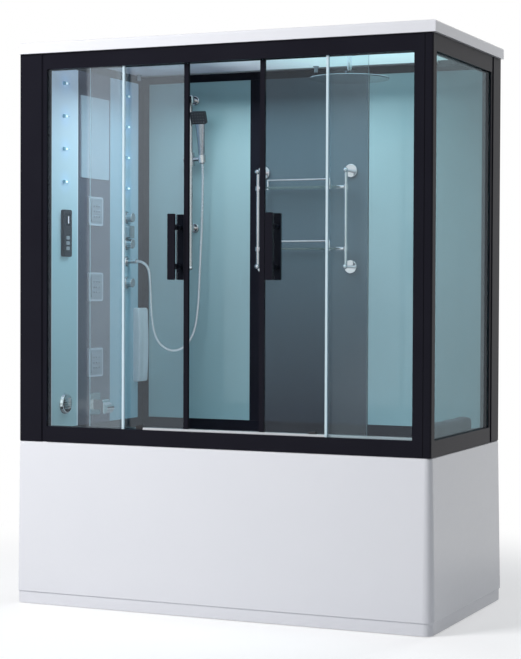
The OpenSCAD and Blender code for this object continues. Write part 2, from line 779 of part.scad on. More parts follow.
// Dark channel on the leading edge, with a shallow groove that holds the magnetic strip
module door_edge(side) {
    side_wall = (edge_t - glass_t) / 2;
    color([0.08, 0.08, 0.11]) at_door(side) translate([0, door_in - side_wall, door_z0])
        linear_extrude(z_head - door_z0 - 2) difference() {
            union() {
                translate([1.5, 0]) square([edge_w - 1.5, edge_t]);
                translate([0, 1.5]) square([3, edge_t - 3]);
            }
            translate([-1, edge_t / 2 - 2.5]) square([2.5, 5]);
            translate([edge_w - 12, side_wall]) square([13, glass_t]);
        }
}

// Flat bar handles on both faces, joined by studs that pass through the glass
module door_handle(side) {
    outer_y = -lip;
    inner_y = door_in + glass_t + 28;
    color([0.1, 0.1, 0.12]) at_door(side) {
        for (y = [outer_y, inner_y]) translate([handle_in, y + handle_t, handle_z]) rotate([90, 0, 0])
            plate(handle_w, handle_len, handle_t, 4);
        for (s = [-1, 1]) translate([handle_in, 0, handle_z + s * handle_pitch / 2]) rotate([-90, 0, 0]) {
            translate([0, 0, outer_y + handle_t])
                cylinder(r = handle_stud_r, h = door_in - outer_y - handle_t);
            translate([0, 0, door_in]) cylinder(r = handle_stud_r - 3, h = glass_t);
            translate([0, 0, door_in + glass_t])
                cylinder(r = handle_stud_r, h = inner_y - door_in - glass_t);
            translate([0, 0, door_in - 3]) cylinder(r = handle_stud_r + 3, h = 3);
            translate([0, 0, door_in + glass_t]) cylinder(r = handle_stud_r + 3, h = 3);
        }
    }
}

// Clamps over the glass inside the head rail, each with the pin that carries a roller
module door_hangers(side) {
    cheek = 4;
    pin_end = channel_y1 - 1;
    pin_y0 = door_in + glass_t + cheek;
    hub_y = bead_y - roller_w / 2 - fit_gap;
    color([0.6, 0.62, 0.65]) at_door(side) for (u = [hanger_in, door_w - hanger_in])
        translate([u, 0, 0]) {
            difference() {
                span([-hanger_w / 2, door_in - cheek, hanger_z],
                    [hanger_w / 2, door_in + glass_t + cheek, hanger_z + hanger_h]);
                span([-hanger_w, door_in, hanger_z - 1], [hanger_w, door_in + glass_t, door_z1]);
            }
            translate([0, 0, roller_z]) rotate([-90, 0, 0]) {
                translate([0, 0, pin_y0]) cylinder(r = 5, h = hub_y - pin_y0);
                translate([0, 0, pin_y0]) cylinder(r = axle_r, h = pin_end - pin_y0);
                translate([0, 0, bead_y + roller_w / 2 + fit_gap]) cylinder(r = 4, h = 1);
            }
        }
}

// Grooved roller that runs on the bead
module roller(side, u) {
    groove_r = bead_r + fit_gap;
    rim = roll_r + bead_r - 0.5;
    half = roller_w / 2;
    color([0.9, 0.9, 0.88]) at_door(side) translate([u, bead_y, roller_z]) rotate([-90, 0, 0])
        rotate_extrude() difference() {
            translate([axle_r + axle_gap, -half]) square([rim - axle_r - axle_gap, roller_w]);
            translate([roll_r + bead_r, 0]) circle(groove_r);
            for (s = [-1, 1]) translate([5.5, s * half - 0.8]) square([2, 1.6]);
        }
}

module left_door_glass() { door_glass(0); }
module left_door_edge() { door_edge(0); }
module left_door_handle() { door_handle(0); }
module left_door_hangers() { door_hangers(0); }
module right_door_glass() { door_glass(1); }
module right_door_edge() { door_edge(1); }
module right_door_handle() { door_handle(1); }
module right_door_hangers() { door_hangers(1); }
module left_roller_inner() { roller(0, hanger_in); }
module left_roller_outer() { roller(0, door_w - hanger_in); }
module right_roller_inner() { roller(1, hanger_in); }
module right_roller_outer() { roller(1, door_w - hanger_in); }

// Guide blocks and threshold strip on the bottom rail, and stops in the door channel
module door_guides() {
    guide_h = 16;
    slot_w = glass_t + 1.2;
    strip_t = 5;
    strip_h = 8;
    stop_z = hanger_z + 2;
    stop_l = 14;
    first = door_stroke + door_w - hanger_in + hanger_w / 2 + 0.5;
    color([0.93, 0.93, 0.95]) {
        for (s = [-1, 1]) translate([mid_x + s * guide_at, yf + door_in + glass_t / 2, z_sill])
            difference() {
                span([-guide_l / 2, -slot_w / 2 - 5, 0], [guide_l / 2, slot_w / 2 + 5, guide_h]);
                span([-guide_l, -slot_w / 2, 4], [guide_l, slot_w / 2, guide_h + 1]);
            }
        span([mid_x - guide_at + guide_l / 2 + 5, yf + door_in - 13, z_sill],
            [open_r, yf + door_in - 13 + strip_t, z_sill + strip_h]);
        // Stops at both ends of the channel, and one between the two doors
        for (s = [-1, 1]) translate([mid_x + s * (first + stop_l / 2), yf, stop_z])
            span([-stop_l / 2, channel_y0, 0], [stop_l / 2, door_in - 0.5, hanger_h - 4]);
        span([mid_x - hanger_in + hanger_w / 2 + 0.6, yf + channel_y0, stop_z],
            [mid_x + hanger_in - hanger_w / 2 - 0.6, yf + door_in - 0.5, stop_z + hanger_h - 4]);
    }
}

// Roof, with the ceiling as a shallow tray let in between the rails

module roof_side(w, h) {
    r = 8;
    polygon(concat([[0, 0]], arc(r, h - r, r, 180, 90), arc(w - r, h - r, r, 90, 0), [[w, 0]]));
}

module roof_canopy() {
    skin = 4;
    w = frame_w + lip;
    d = frame_d + lip;
    pan_a = [wall_x + fit_gap, yf + rail_d + fit_gap];
    pan_b = [xr - side_t - fit_gap, rear_y - fit_gap];
    z0 = z_roof - ceiling_drop;
    color([0.93, 0.95, 0.98]) difference() {
        union() {
            intersection() {
                translate([xl, yb, z_roof]) rotate([90, 0, 0]) linear_extrude(d) roof_side(w, roof_h);
                translate([xl, yf - lip, z_roof]) rotate([90, 0, 90]) linear_extrude(w) roof_side(d, roof_h);
            }
            span([pan_a[0], pan_a[1], z0], [pan_b[0], pan_b[1], z_roof + 1]);
        }
        span([pan_a[0] + skin, pan_a[1] + skin, z0 + skin], [pan_b[0] - skin, pan_b[1] - skin, cabin_h + 1]);
        for (p = spot_at) translate([p[0], p[1], z0 - 1]) cylinder(r = spot_neck, h = skin + 2);
        translate([fan_at[0], fan_at[1], z0 - 1]) cylinder(r = fan_w / 2 - 15, h = skin + 2);
        translate([xl + rain_x, yf + rain_y, z0 - 1]) cylinder(r = 10.5, h = skin + 2);
    }
}

// Small round spots: flange, hanging body and domed lens, with the neck through the ceiling
module ceiling_lights() {
    color([0.9, 0.92, 0.95]) for (p = spot_at) translate([p[0], p[1], ceiling_z]) {
        rotate_extrude() polygon(concat(
            [[0, 0], [0, -spot_h], [spot_neck - 3, -spot_h]],
            arc(spot_neck - 3, 3 - spot_h, 3, -90, 0),
            [[spot_neck, -4], [spot_r, -3], [spot_r, 0]]
        ));
        cylinder(r = spot_neck - fit_gap, h = 34);
    }
}

// Extractor: slotted grille under the ceiling, round neck through it and fan box over it
module ceiling_fan() {
    slats = 5;
    frame = 8;
    pitch = (fan_w - 2 * frame) / slats;
    color([0.07, 0.07, 0.09]) translate([fan_at[0], fan_at[1], ceiling_z]) {
        difference() {
            translate([0, 0, -fan_h]) plate(fan_w, fan_w, fan_h, 8);
            for (i = [0 : slats - 1])
                translate([frame - fan_w / 2, frame - fan_w / 2 + (i + 0.2) * pitch, -fan_h - 1])
                    cube([fan_w - 2 * frame, pitch * 0.6, 9]);
        }
        cylinder(r = fan_w / 2 - 15 - fit_gap, h = 12);
        translate([0, 0, 4]) plate(fan_w + 20, fan_w + 20, 36, 8);
    }
}

// Ceiling plate, drop pipe and the ball of the swivel
module rain_shower_arm() {
    color([0.85, 0.87, 0.9]) translate([xl + rain_x, yf + rain_y, ball_z]) {
        sphere(r = ball_r);
        cylinder(r = 6, h = 17);
        translate([0, 0, 16]) cylinder(r = 9, h = ceiling_z + 24 - ball_z - 16);
        translate([0, 0, ceiling_z - 6 - ball_z]) cylinder(r = 32, h = 6);
    }
}

// Round spray head with its swivel nut
module rain_shower_head() {
    face_t = 7;
    nut_r = 18;
    color([0.85, 0.87, 0.9]) translate([xl + rain_x, yf + rain_y, 0]) difference() {
        rotate_extrude() polygon(concat(
            [[0, rain_z], [rain_r - 3, rain_z]],
            arc(rain_r - 3, rain_z + 3, 3, -90, 70),
            [[nut_r + 14, rain_z + face_t + 2], [nut_r, rain_z + face_t + 6]],
            [[nut_r, ball_z + 10], [0, ball_z + 10]]
        ));
        // Socket of the swivel and its mouth, which lets the head tilt
        translate([0, 0, ball_z]) sphere(r = ball_r + fit_gap);
        translate([0, 0, ball_z]) cylinder(r = 9.2, h = 12);
        // Rings of nozzle recesses in the face
        for (ring = [1 : 4]) for (k = [0 : ring * 6 - 1])
            rotate([0, 0, 360 * k / (ring * 6)]) translate([ring * rain_r / 5, 0, rain_z - 1])
                cylinder(r = 2, h = 2.2, $fn = 16);
    }
}

// Equipment wall

front_panel_y = yf + side_t;
dark_y = front_panel_y + lit_front_w;
rear_panel_y = dark_y + dark_w;
stud_y = rear_panel_y + lit_rear_w;
dark_in = side_t + lit_front_w + dark_w / 2;
stud_w = 30;
stud_back = 22;

module equipment_frame() {
    x0 = xl + stud_back;
    x1 = wall_x - panel_t;
    color([0.13, 0.13, 0.16]) {
        // Bands under and over the panels, flush with their faces
        span([x0, front_panel_y, tub_h], [wall_x, rear_y, panel_z0]);
        span([x0, front_panel_y, panel_z1], [wall_x, rear_y, z_roof]);
        // Studs behind the joints of the panels
        for (y = [front_panel_y, dark_y - stud_w / 2, rear_panel_y - stud_w / 2])
            span([x0, y, panel_z0 + fit_gap], [x1, y + stud_w, panel_z1 - fit_gap]);
        // Dark corner profile
        span([x0, stud_y, panel_z0 + fit_gap], [wall_x, rear_y, panel_z1 - fit_gap]);
    }
}

module lit_panels() {
    color([0.62, 0.8, 0.84]) {
        difference() {
            span([wall_x - panel_t, front_panel_y, panel_z0], [wall_x, dark_y, panel_z1]);
            on_wall(wedge_front, steam_z) translate([0, 0, -panel_t - 1]) cylinder(r = 13, h = panel_t + 2);
        }
        difference() {
            span([wall_x - panel_t, rear_panel_y, panel_z0], [wall_x, stud_y, panel_z1]);
            for (z = [diverter_z, mixer_z, flow_z, outlet_hose_z])
                on_wall(column_in, z) translate([0, 0, -panel_t - 1]) cylinder(r = 13, h = panel_t + 2);
        }
    }
}

module dark_panel() {
    color([0.33, 0.33, 0.38]) difference() {
        span([wall_x - panel_t, dark_y, panel_z0], [wall_x, rear_panel_y, panel_z1]);
        for (z = concat([spout_z], jet_heights))
            on_wall(dark_in, z) translate([0, 0, -panel_t - 1]) cylinder(r = 16, h = panel_t + 2);
    }
}

spout_z = panel_z0 + 79;
jet_heights = [for (k = [0 : 2]) jet_z + k * jet_step];
steam_z = panel_z0 + 95;

// Glowing wedges in two rows
module light_wedges() {
    color([0.6, 0.9, 1]) for (along = [wedge_front, column_in]) for (k = [0 : 3])
        on_wall(along, wedge_z + k * wedge_step)
            linear_extrude(9) polygon([[-18, -7], [-18, 7], [26, 0]]);
}

module wall_mirror() {
    color([0.75, 0.78, 0.82]) on_wall(dark_in, mirror_z0 + mirror_h / 2)
        plate(mirror_w, mirror_h, 5, 4);
}

// Square back jets: plate, raised field with rows of nozzles, and the tail behind the panel
module back_jets() {
    nozzle_step = jet_field / 4;
    color([0.5, 0.53, 0.57]) for (z = jet_heights) on_wall(dark_in, z) {
        difference() {
            plate(jet_w, jet_w, 9, 10);
            translate([0, 0, 7]) plate(jet_field + 4, jet_field + 4, 3, 6);
        }
        translate([0, 0, 6]) plate(jet_field, jet_field, 5, 5);
        for (i = [-1 : 1]) for (j = [-1 : 1])
            translate([i * nozzle_step, j * nozzle_step, 11])
                rotate_extrude() polygon([[0, -1], [6, -1], [6, 0], [3.5, 4], [2, 4], [2, 1], [0, 1]]);
        translate([0, 0, -30]) cylinder(r = 15.5, h = 30.5);
        translate([0, 0, -panel_t - 4]) cylinder(r = 26, h = 3.7);
    }
}

key_w = 26;
key_h = 14;
key_step = 21;
key_bite = 3.4;
key_rise = 1.4;
function key_z(i) = control_z - 18 - i * key_step;

module control_panel() {
    display_w = panel_w - 18;
    display_h = 52;
    color([0.16, 0.17, 0.2]) on_wall(wedge_front, control_z) {
        difference() {
            plate(panel_w, panel_h, control_t, 9);
            translate([0, panel_h / 2 - 14 - display_h / 2, control_t - 1.2])
                plate(display_w, display_h, 3, 3);
            for (i = [0 : 2])
                translate([0, key_z(i) - control_z, control_t - key_bite - key_travel - fit_gap])
                    plate(key_w + 2 * fit_gap, key_h + 2 * fit_gap, 9, 4 + fit_gap);
        }
        translate([0, panel_h / 2 - 14 - display_h / 2, control_t - 1.4])
            plate(display_w - 1, display_h - 1, 0.8, 3);
    }
}

module panel_key(i) {
    color([0.7, 0.73, 0.77]) on_wall(wedge_front, key_z(i))
        translate([0, 0, control_t - key_bite]) {
            plate(key_w, key_h, key_bite + key_rise - 0.6, 4);
            plate(key_w - 3, key_h - 3, key_bite + key_rise, 3);
        }
}
module power_key() { panel_key(0); }
module steam_key() { panel_key(1); }
module light_key() { panel_key(2); }

// Round steam outlet with louvres, and its tail through the panel
steam_tail = 26;

module steam_outlet() {
    r = 42;
    color([0.85, 0.87, 0.9]) on_wall(wedge_front, steam_z) {
        difference() {
            rotate_extrude() polygon(concat([[0, 0], [r, 0], [r, 4]], arc(r - 8, 8, 6, 30, 90), [[0, 16]]));
            for (k = [-2 : 2]) translate([16 - r, k * 9 - 2, 8]) cube([2 * r - 32, 4, 12]);
        }
        translate([0, 0, -steam_tail]) cylinder(r = 12, h = steam_tail + 0.5);
    }
}

// Flat steam boiler between two studs, with its pipe down to the outlet
boiler_h = 360;
boiler_up = 200;
pipe_back = 18;

module steam_generator() {
    x0 = xl + stud_back;
    x1 = wall_x - panel_t - fit_gap;
    z0 = panel_z0 + boiler_up;
    pipe_x = wall_x - steam_tail - pipe_back;
    color([0.78, 0.8, 0.82]) {
        difference() {
            span([x0, front_panel_y + stud_w, z0], [x1, dark_y - stud_w / 2, z0 + boiler_h]);
            for (k = [0 : 5]) translate([x0 - 1, front_panel_y + stud_w + 25, z0 + boiler_h - 120 + k * 16])
                cube([3, dark_y - front_panel_y - 1.5 * stud_w - 50, 6]);
        }
        translate([pipe_x, yf + wedge_front, steam_z]) cylinder(r = 10, h = z0 - steam_z + 0.5);
        translate([pipe_x, yf + wedge_front, steam_z]) sphere(r = 10);
        translate([pipe_x, yf + wedge_front, steam_z]) rotate([0, 90, 0])
            cylinder(r = 10, h = pipe_back - fit_gap);
    }
}

// Bath spout: wall plate with a mouth that turns down over the basin
module bath_spout() {
    w = 58;
    color([0.85, 0.87, 0.9]) on_wall(dark_in, spout_z) {
        plate(90, 92, 5, 12);
        difference() {
            translate([-w / 2, 0, 0]) rotate([90, 0, 90]) linear_extrude(w) polygon(concat(
                [[-20, 0], [20, 0]], arc(8, 46, 12, 0, 90), arc(-8, 46, 34, 90, 150), [[-20, 40]]
            ));
            translate([-w / 2 + 6, -40, 52]) cube([w - 12, 38, 16]);
        }
        translate([0, 0, -30]) cylinder(r = 15, h = 30.5);
    }
}

module wall_outlets() {
    steam_outlet();
    bath_spout();
}

// Concealed valve: body and two supply threads behind the panel, trim and spindles in front
valve_back = -panel_t - 22;

module shower_valve() {
    rise = diverter_z - flow_z;
    color([0.82, 0.84, 0.87]) on_wall(column_in, flow_z) {
        // Body along the column, and the cross bar to the two supplies
        translate([0, -14, valve_back]) rotate([-90, 0, 0]) cylinder(r = 13, h = rise + 28);
        translate([-86, mixer_z - flow_z, valve_back]) rotate([0, 90, 0]) cylinder(r = 12, h = 172);
        for (s = [-1, 1]) translate([s * 75, mixer_z - flow_z, valve_back]) rotate([180, 0, 0]) {
            cylinder(r = 14, h = 22, $fn = 6);
            cylinder(r = supply_r, h = 22 + supply_len);
        }
        // Necks, trim rings and spindles of the three knobs
        for (z = [0, mixer_z - flow_z, rise]) translate([0, z, valve_back]) {
            cylinder(r = 12.5, h = -valve_back + 1);
            translate([0, 0, -valve_back]) cylinder(r1 = knob_r + 6, r2 = knob_r + 3, h = 4);
            cylinder(r = 5, h = -valve_back + 15);
        }
        // Square block between the two upper knobs
        translate([0, (mixer_z + diverter_z) / 2 - flow_z - 6, 0]) plate(44, 52, 24, 6);
        // Hose outlet with its threaded nose
        translate([0, outlet_hose_z - flow_z, valve_back]) {
            cylinder(r = 12.5, h = -valve_back + 1);
            cylinder(r = 9.5, h = -valve_back + hose_reach - 14);
            translate([0, 0, -valve_back]) cylinder(r1 = 22, r2 = 18, h = 5);
            translate([0, 0, -valve_back + hose_reach - 16]) cylinder(r = 11, h = 16, $fn = 6);
        }
    }
}

// Ribbed tap knob with a pointer notch, on a spindle
module tap_knob(z) {
    ribs = 12;
    h = 26;
    color([0.86, 0.88, 0.91]) on_wall(column_in, z) translate([0, 0, 4 + fit_gap]) difference() {
        rotate_extrude() polygon(concat(
            [[5 + axle_gap, 0], [knob_r, 0], [knob_r, h - 3]], arc(knob_r - 3, h - 3, 3, 0, 90),
            [[0, h], [0, 12], [5 + axle_gap, 12]]
        ));
        for (k = [0 : ribs - 1]) rotate([0, 0, 360 * k / ribs])
            translate([knob_r + 1, 0, 5]) cylinder(r = 2.4, h = h);
        translate([-1, knob_r - 9, h - 1]) cube([2, 7, 2]);
    }
}
module diverter_knob() { tap_knob(diverter_z); }
module mixer_knob() { tap_knob(mixer_z); }
module flow_knob() { tap_knob(flow_z); }

// Moulded pad in the corner: the outline runs along its height
module massage_pad() {
    h = back_pad_h;
    t = back_pad_t;
    color([0.85, 0.88, 0.92]) on_wall(frame_d - rear_t - 3 - back_pad_w / 2, pad_z)
        translate([-back_pad_w / 2, 0, 0]) rotate([90, 0, 90]) linear_extrude(back_pad_w)
            polygon(concat(
                [[-h / 2, 0]], arc(-h / 2 + 12, t - 12, 12, 180, 90),
                [for (i = [0 : 8]) [-h / 4 + i * h / 16, t - 5 + 5 * sin(90 + 45 * i)]],
                arc(h / 2 - 14, t - 16, 14, 90, 0), [[h / 2, 0]]
            ));
}

// Rear wall

pane_x0 = wall_x + corner_trim;
mullion_x = pane_x0 + rear_pane_w;
slate_x = mullion_x + mullion_w;
slim_x = slate_x + slate_w;
right_pane_x = slim_x + slim_w;
rear_end = xr - side_t;
right_pane_end = rear_end - 20;

module rear_frame() {
    z0 = panel_z0 + fit_gap;
    z1 = panel_z1 - fit_gap;
    color([0.12, 0.12, 0.15]) {
        span([wall_x, rear_y, tub_h], [rear_end, yb, panel_z0]);
        span([wall_x, rear_y, panel_z1], [rear_end, yb, z_roof]);
        for (m = [[wall_x, corner_trim], [mullion_x, mullion_w], [slim_x, slim_w], [right_pane_end, 20]])
            span([m[0], rear_y, z0], [m[0] + m[1], yb, z1]);
    }
}

module rear_glass() {
    color([0.6, 0.76, 0.78]) {
        span([pane_x0, rear_y, panel_z0], [mullion_x, rear_y + panel_t, panel_z1]);
        span([right_pane_x, rear_y, panel_z0], [right_pane_end, rear_y + panel_t, panel_z1]);
    }
}

module slate_panel() {
    color([0.33, 0.39, 0.43])
        span([slate_x, rear_y, panel_z0], [slim_x, rear_y + panel_t, panel_z1]);
}

// Shower fittings on the rear wall

module rosette(r, t) {
    rotate_extrude() polygon(concat([[0, 0], [r, 0], [r, t - 3]], arc(r - 3, t - 3, 3, 0, 90), [[0, t]]));
}

module riser_rail() {
    foot = 170;
    color([0.85, 0.87, 0.9]) {
        translate([xl + riser_x, rail_y, riser_z - foot])
            cylinder(r = riser_r, h = riser_top - riser_z + foot + 12);
        translate([xl + riser_x, rail_y, riser_z - foot]) sphere(r = riser_r + 1);
        translate([xl + riser_x, rail_y, riser_top + 12]) sphere(r = riser_r + 1);
        for (z = [riser_z, riser_top]) on_rear(riser_x, z) {
            rosette(20, 8);
            cylinder(r = 9, h = riser_out);
            translate([0, -14, riser_out]) rotate([-90, 0, 0]) cylinder(r = riser_r + 4, h = 28);
        }
    }
}

// Slider with its clamp screw, and the arm with the cradle of the hand shower
module shower_holder() {
    half = 28;
    cradle_r = 17;
    color([0.8, 0.82, 0.85]) difference() {
        union() {
            translate([xl + riser_x, rail_y, holder_z - half]) cylinder(r = riser_r + 8, h = 2 * half);
            translate([xl + riser_x, rail_y, holder_z]) rotate([0, -90, 0])
                cylinder(r = 12, h = riser_r + 22);
            translate([xl + riser_x + riser_r + 4, rail_y, holder_z]) rotate([0, 90, 0])
                cylinder(r = 9, h = hand_x - xl - riser_x - riser_r - 4 - 14);
            translate([hand_x, hand_y, holder_z]) rotate([hand_lean, 0, 0])
                translate([0, 0, -15]) cylinder(r = cradle_r, h = 32);
        }
        translate([xl + riser_x, rail_y, holder_z - half - 1])
            cylinder(r = riser_r + fit_gap, h = 2 * half + 2);
        translate([hand_x, hand_y, holder_z]) rotate([hand_lean, 0, 0])
            translate([0, 0, -16]) cylinder(r = 13.5, h = 40);
    }
}

// Handle on the cradle's axis, and the flat square spray head that faces forward and a little down
module hand_shower() {
    handle_l = 178;
    head_w = 72;
    head_l = 54;
    head_t = 15;
    head_turn = 104;
    translate([hand_x, hand_y, holder_z]) rotate([hand_lean, 0, 0]) translate([0, 0, -20]) {
        color([0.82, 0.84, 0.87]) rotate_extrude() polygon([
            [0, 0], [11, 0], [11, 6], [13.2, 7], [13.2, 38], [14.5, 41], [12, 70],
            [13, handle_l - 40], [15.5, handle_l], [0, handle_l]
        ]);
        color([0.12, 0.12, 0.14]) translate([0, -12, handle_l + 16]) rotate([head_turn, 0, 0]) difference() {
            translate([0, 0, -head_t / 2]) plate(head_w, head_l, head_t, 7);
            for (i = [-2 : 2]) for (j = [-1.5 : 1.5])
                translate([i * 12, j * 12, head_t / 2 - 1.5]) cylinder(r = 1.5, h = 2, $fn = 13);
        }
    }
}

// Metal hose, swept along its route
module shower_hose() {
    rings = len(hose_line);
    echo(hose_length = hose_length());
    color([0.8, 0.82, 0.85]) polyhedron(
        points = [for (i = [0 : rings - 1]) each hose_ring(i)],
        faces = concat(
            [[for (k = [0 : hose_sides - 1]) k]],
            [for (i = [0 : rings - 2]) for (k = [0 : hose_sides - 1])
                let (a = i * hose_sides + k, b = i * hose_sides + (k + 1) % hose_sides)
                each [[a, a + hose_sides, b], [b, a + hose_sides, b + hose_sides]]],
            [[for (k = [0 : hose_sides - 1]) rings * hose_sides - 1 - k]]
        )
    );
}
function hose_length(i = 1) =
    i >= len(hose_line) ? 0 : norm(hose_line[i] - hose_line[i - 1]) + hose_length(i + 1);

// Two posts on ball-ended wall arms, with clips that hold the ends of the two glass shelves
// and a low gallery rail over the front edge of each

post_r = 7;
post_out = 62;
post_under = 69;
post_over = 73;
shelf_t = 8;
shelf_back = 14;
shelf_gap = 26;
gallery_r = 4;
gallery_out = shelf_back + shelf_d - 9;

module shelf_rails() {
    z0 = shelf_low - post_under;
    z1 = shelf_high + post_over;
    clip_r = 9;
    clip_l = shelf_gap + 14;
    color([0.85, 0.87, 0.9]) {
        for (along = [shelf_left, shelf_right]) {
            on_rear(along, z0) translate([0, 0, post_out]) rotate([-90, 0, 0])
                cylinder(r = post_r, h = z1 - z0);
            for (z = [z0, z1]) on_rear(along, z) {
                rosette(28, 10);
                cylinder(r = 7.5, h = post_out + 8);
                translate([0, 0, post_out + 8]) sphere(r = 10.5);
            }
        }
        for (z = [shelf_low, shelf_high]) {
            // Collars on the posts, and their clips with a slot for the glass
            for (s = [0, 1]) on_rear(s == 0 ? shelf_left : shelf_right, z + shelf_t / 2)
                translate([0, 0, post_out]) mirror([s, 0, 0]) difference() {
                    union() {
                        rotate([-90, 0, 0]) translate([0, 0, -9]) cylinder(r = post_r + 4, h = 18);
                        rotate([0, 90, 0]) cylinder(r = clip_r, h = clip_l);
                    }
                    span([shelf_gap - fit_gap, -shelf_t / 2, -clip_r - 1],
                        [clip_l + 1, shelf_t / 2 + fit_gap, clip_r + 1]);
                }
            // Gallery rail, turned down at both ends, with its pins through the glass
            on_rear(shelf_left + gallery_in, z + gallery_h) translate([0, 0, gallery_out]) rotate([0, 90, 0])
                cylinder(r = gallery_r, h = shelf_right - shelf_left - 2 * gallery_in);
            for (along = [shelf_left + gallery_in, shelf_right - gallery_in]) {
                on_rear(along, z + gallery_h) translate([0, 0, gallery_out]) sphere(r = gallery_r);
                on_rear(along, z - 4) translate([0, 0, gallery_out]) rotate([-90, 0, 0]) {
                    cylinder(r = gallery_r, h = gallery_h + 4);
                    cylinder(r = gallery_r + 3, h = 4);
                }
            }
        }
    }
}

module glass_shelves() {
    mid = (shelf_left + shelf_right) / 2;
    w = shelf_right - shelf_left - 2 * shelf_gap;
    color([0.75, 0.88, 0.9, 0.4]) for (z = [shelf_low, shelf_high]) difference() {
        on_rear(mid, z) translate([0, 0, shelf_back]) rotate([-90, 0, 0])
            translate([0, -shelf_d / 2, 0]) plate(w, shelf_d, shelf_t, 12);
        for (along = [shelf_left + gallery_in, shelf_right - gallery_in])
            on_rear(along, z - 1) translate([0, 0, gallery_out]) rotate([-90, 0, 0])
                cylinder(r = gallery_r + fit_gap, h = shelf_t + 2);
    }
}

bathtub();
apron();
support_frame();
levelling_feet();
waste_and_overflow();
headrest();
wall_posts();
corner_post();
front_head_rail();
front_sill_rail();
side_rails();
fixed_glass();
side_glass();
glass_seals();
door_guides();
left_door_glass();
left_door_edge();
left_door_handle();
left_door_hangers();
right_door_glass();
right_door_edge();
right_door_handle();
right_door_hangers();
left_roller_outer();
left_roller_inner();
right_roller_inner();
right_roller_outer();
roof_canopy();
ceiling_lights();
ceiling_fan();
rain_shower_arm();
rain_shower_head();
equipment_frame();
lit_panels();
dark_panel();
light_wedges();
wall_mirror();
back_jets();
control_panel();
power_key();
steam_key();
light_key();
wall_outlets();
steam_generator();
shower_valve();
diverter_knob();
mixer_knob();
flow_knob();
massage_pad();
rear_frame();
rear_glass();
slate_panel();
riser_rail();
shower_holder();
hand_shower();
shower_hose();
shelf_rails();
glass_shelves();
waste_plug();
overflow_knob();
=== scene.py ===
import math

import bmesh
import bpy
from mathutils import Matrix, Vector


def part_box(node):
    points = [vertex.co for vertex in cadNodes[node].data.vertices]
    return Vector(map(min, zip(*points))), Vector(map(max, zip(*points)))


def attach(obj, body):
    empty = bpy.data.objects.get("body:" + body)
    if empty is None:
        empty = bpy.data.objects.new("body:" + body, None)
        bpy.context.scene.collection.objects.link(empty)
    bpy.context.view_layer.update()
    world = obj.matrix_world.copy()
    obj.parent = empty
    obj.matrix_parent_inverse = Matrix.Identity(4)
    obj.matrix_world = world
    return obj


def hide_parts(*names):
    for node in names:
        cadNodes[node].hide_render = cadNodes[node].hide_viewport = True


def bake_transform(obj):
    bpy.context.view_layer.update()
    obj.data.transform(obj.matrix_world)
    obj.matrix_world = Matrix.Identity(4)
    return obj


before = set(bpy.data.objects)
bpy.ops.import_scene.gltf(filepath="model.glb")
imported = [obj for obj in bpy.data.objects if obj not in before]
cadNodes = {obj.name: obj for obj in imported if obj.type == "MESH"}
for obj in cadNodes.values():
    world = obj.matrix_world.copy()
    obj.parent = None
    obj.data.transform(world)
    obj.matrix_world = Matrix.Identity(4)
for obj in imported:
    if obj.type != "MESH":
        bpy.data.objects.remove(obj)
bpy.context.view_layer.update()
for item in list(bpy.context.selected_objects):
    item.select_set(False)
print("frame loaded:", len(cadNodes), "nodes")


# the camera

camera = {
    "place": (2.866, -6.518, 1.251),
    "turn": 23.78,       # degrees to the left of straight ahead
    "tilt": -1.37,
    "roll": 0.23,
    "lens": 98.2,
    "sight": 100,        # how far it sees
}


def addCamera(c):
    turn, tilt, roll = (math.radians(c[k]) for k in ("turn", "tilt", "roll"))
    ahead = Vector((-math.sin(turn) * math.cos(tilt), math.cos(turn) * math.cos(tilt), math.sin(tilt)))
    level = Vector((math.cos(turn), math.sin(turn), 0))
    rise = level.cross(ahead)
    right = level * math.cos(roll) + rise * math.sin(roll)
    up = right.cross(ahead)
    data = bpy.data.cameras.new("camera")
    data.lens = c["lens"]
    data.clip_end = c["sight"]
    eye = bpy.data.objects.new("camera", data)
    bpy.context.scene.collection.objects.link(eye)
    eye.matrix_world = Matrix.Translation(c["place"]) @ Matrix((right, up, -ahead)).transposed().to_4x4()
    bpy.context.scene.camera = eye


addCamera(camera)
print("camera ready")


# the shower hose: an interlocked steel tube on the same route as the solid it stands for

hose = {
    "radius": 0.006,
    "link": 0.0052,                      # length of one link
    "groove": 0.0009,                    # depth of the groove between two links
    "profile": (1.0, 0.12, 0.0, 0.12),   # share of that depth at each ring of points along a link
    "sides": 12,
    "steps": 8,                          # points between two of the route's
    "risesFrom": (-0.470, 0.35, 1.060),  # start of the rising part, with its direction and length on the next lines
    "risesAlong": (0.867, 0, 0.498),
    "risesOver": 0.383,
    "route": [
        (-0.6957, 0.256, 1.356), (-0.691, 0.256, 1.356), (-0.686, 0.256, 1.356), (-0.670, 0.258, 1.352),
        (-0.655, 0.262, 1.342), (-0.645, 0.267, 1.325), (-0.641, 0.271, 1.304), (-0.639, 0.274, 1.262),
        (-0.638, 0.277, 1.212), (-0.637, 0.279, 1.160), (-0.634, 0.282, 1.110), (-0.628, 0.286, 1.066),
        (-0.617, 0.291, 1.030), (-0.600, 0.297, 1.003), (-0.578, 0.304, 0.986), (-0.554, 0.313, 0.978),
        (-0.528, 0.323, 0.982), (-0.504, 0.332, 0.997), (-0.484, 0.340, 1.022), (-0.469, 0.346, 1.056),
        (-0.460, 0.351, 1.096), (-0.455, 0.355, 1.145), (-0.451, 0.358, 1.205), (-0.449, 0.360, 1.275),
        (-0.446, 0.362, 1.355), (-0.443, 0.364, 1.440), (-0.440, 0.365, 1.530), (-0.438, 0.365, 1.620),
        (-0.436, 0.364, 1.700), (-0.436, 0.3616, 1.750), (-0.436, 0.3602, 1.760), (-0.436, 0.3588, 1.7699),
    ],
}


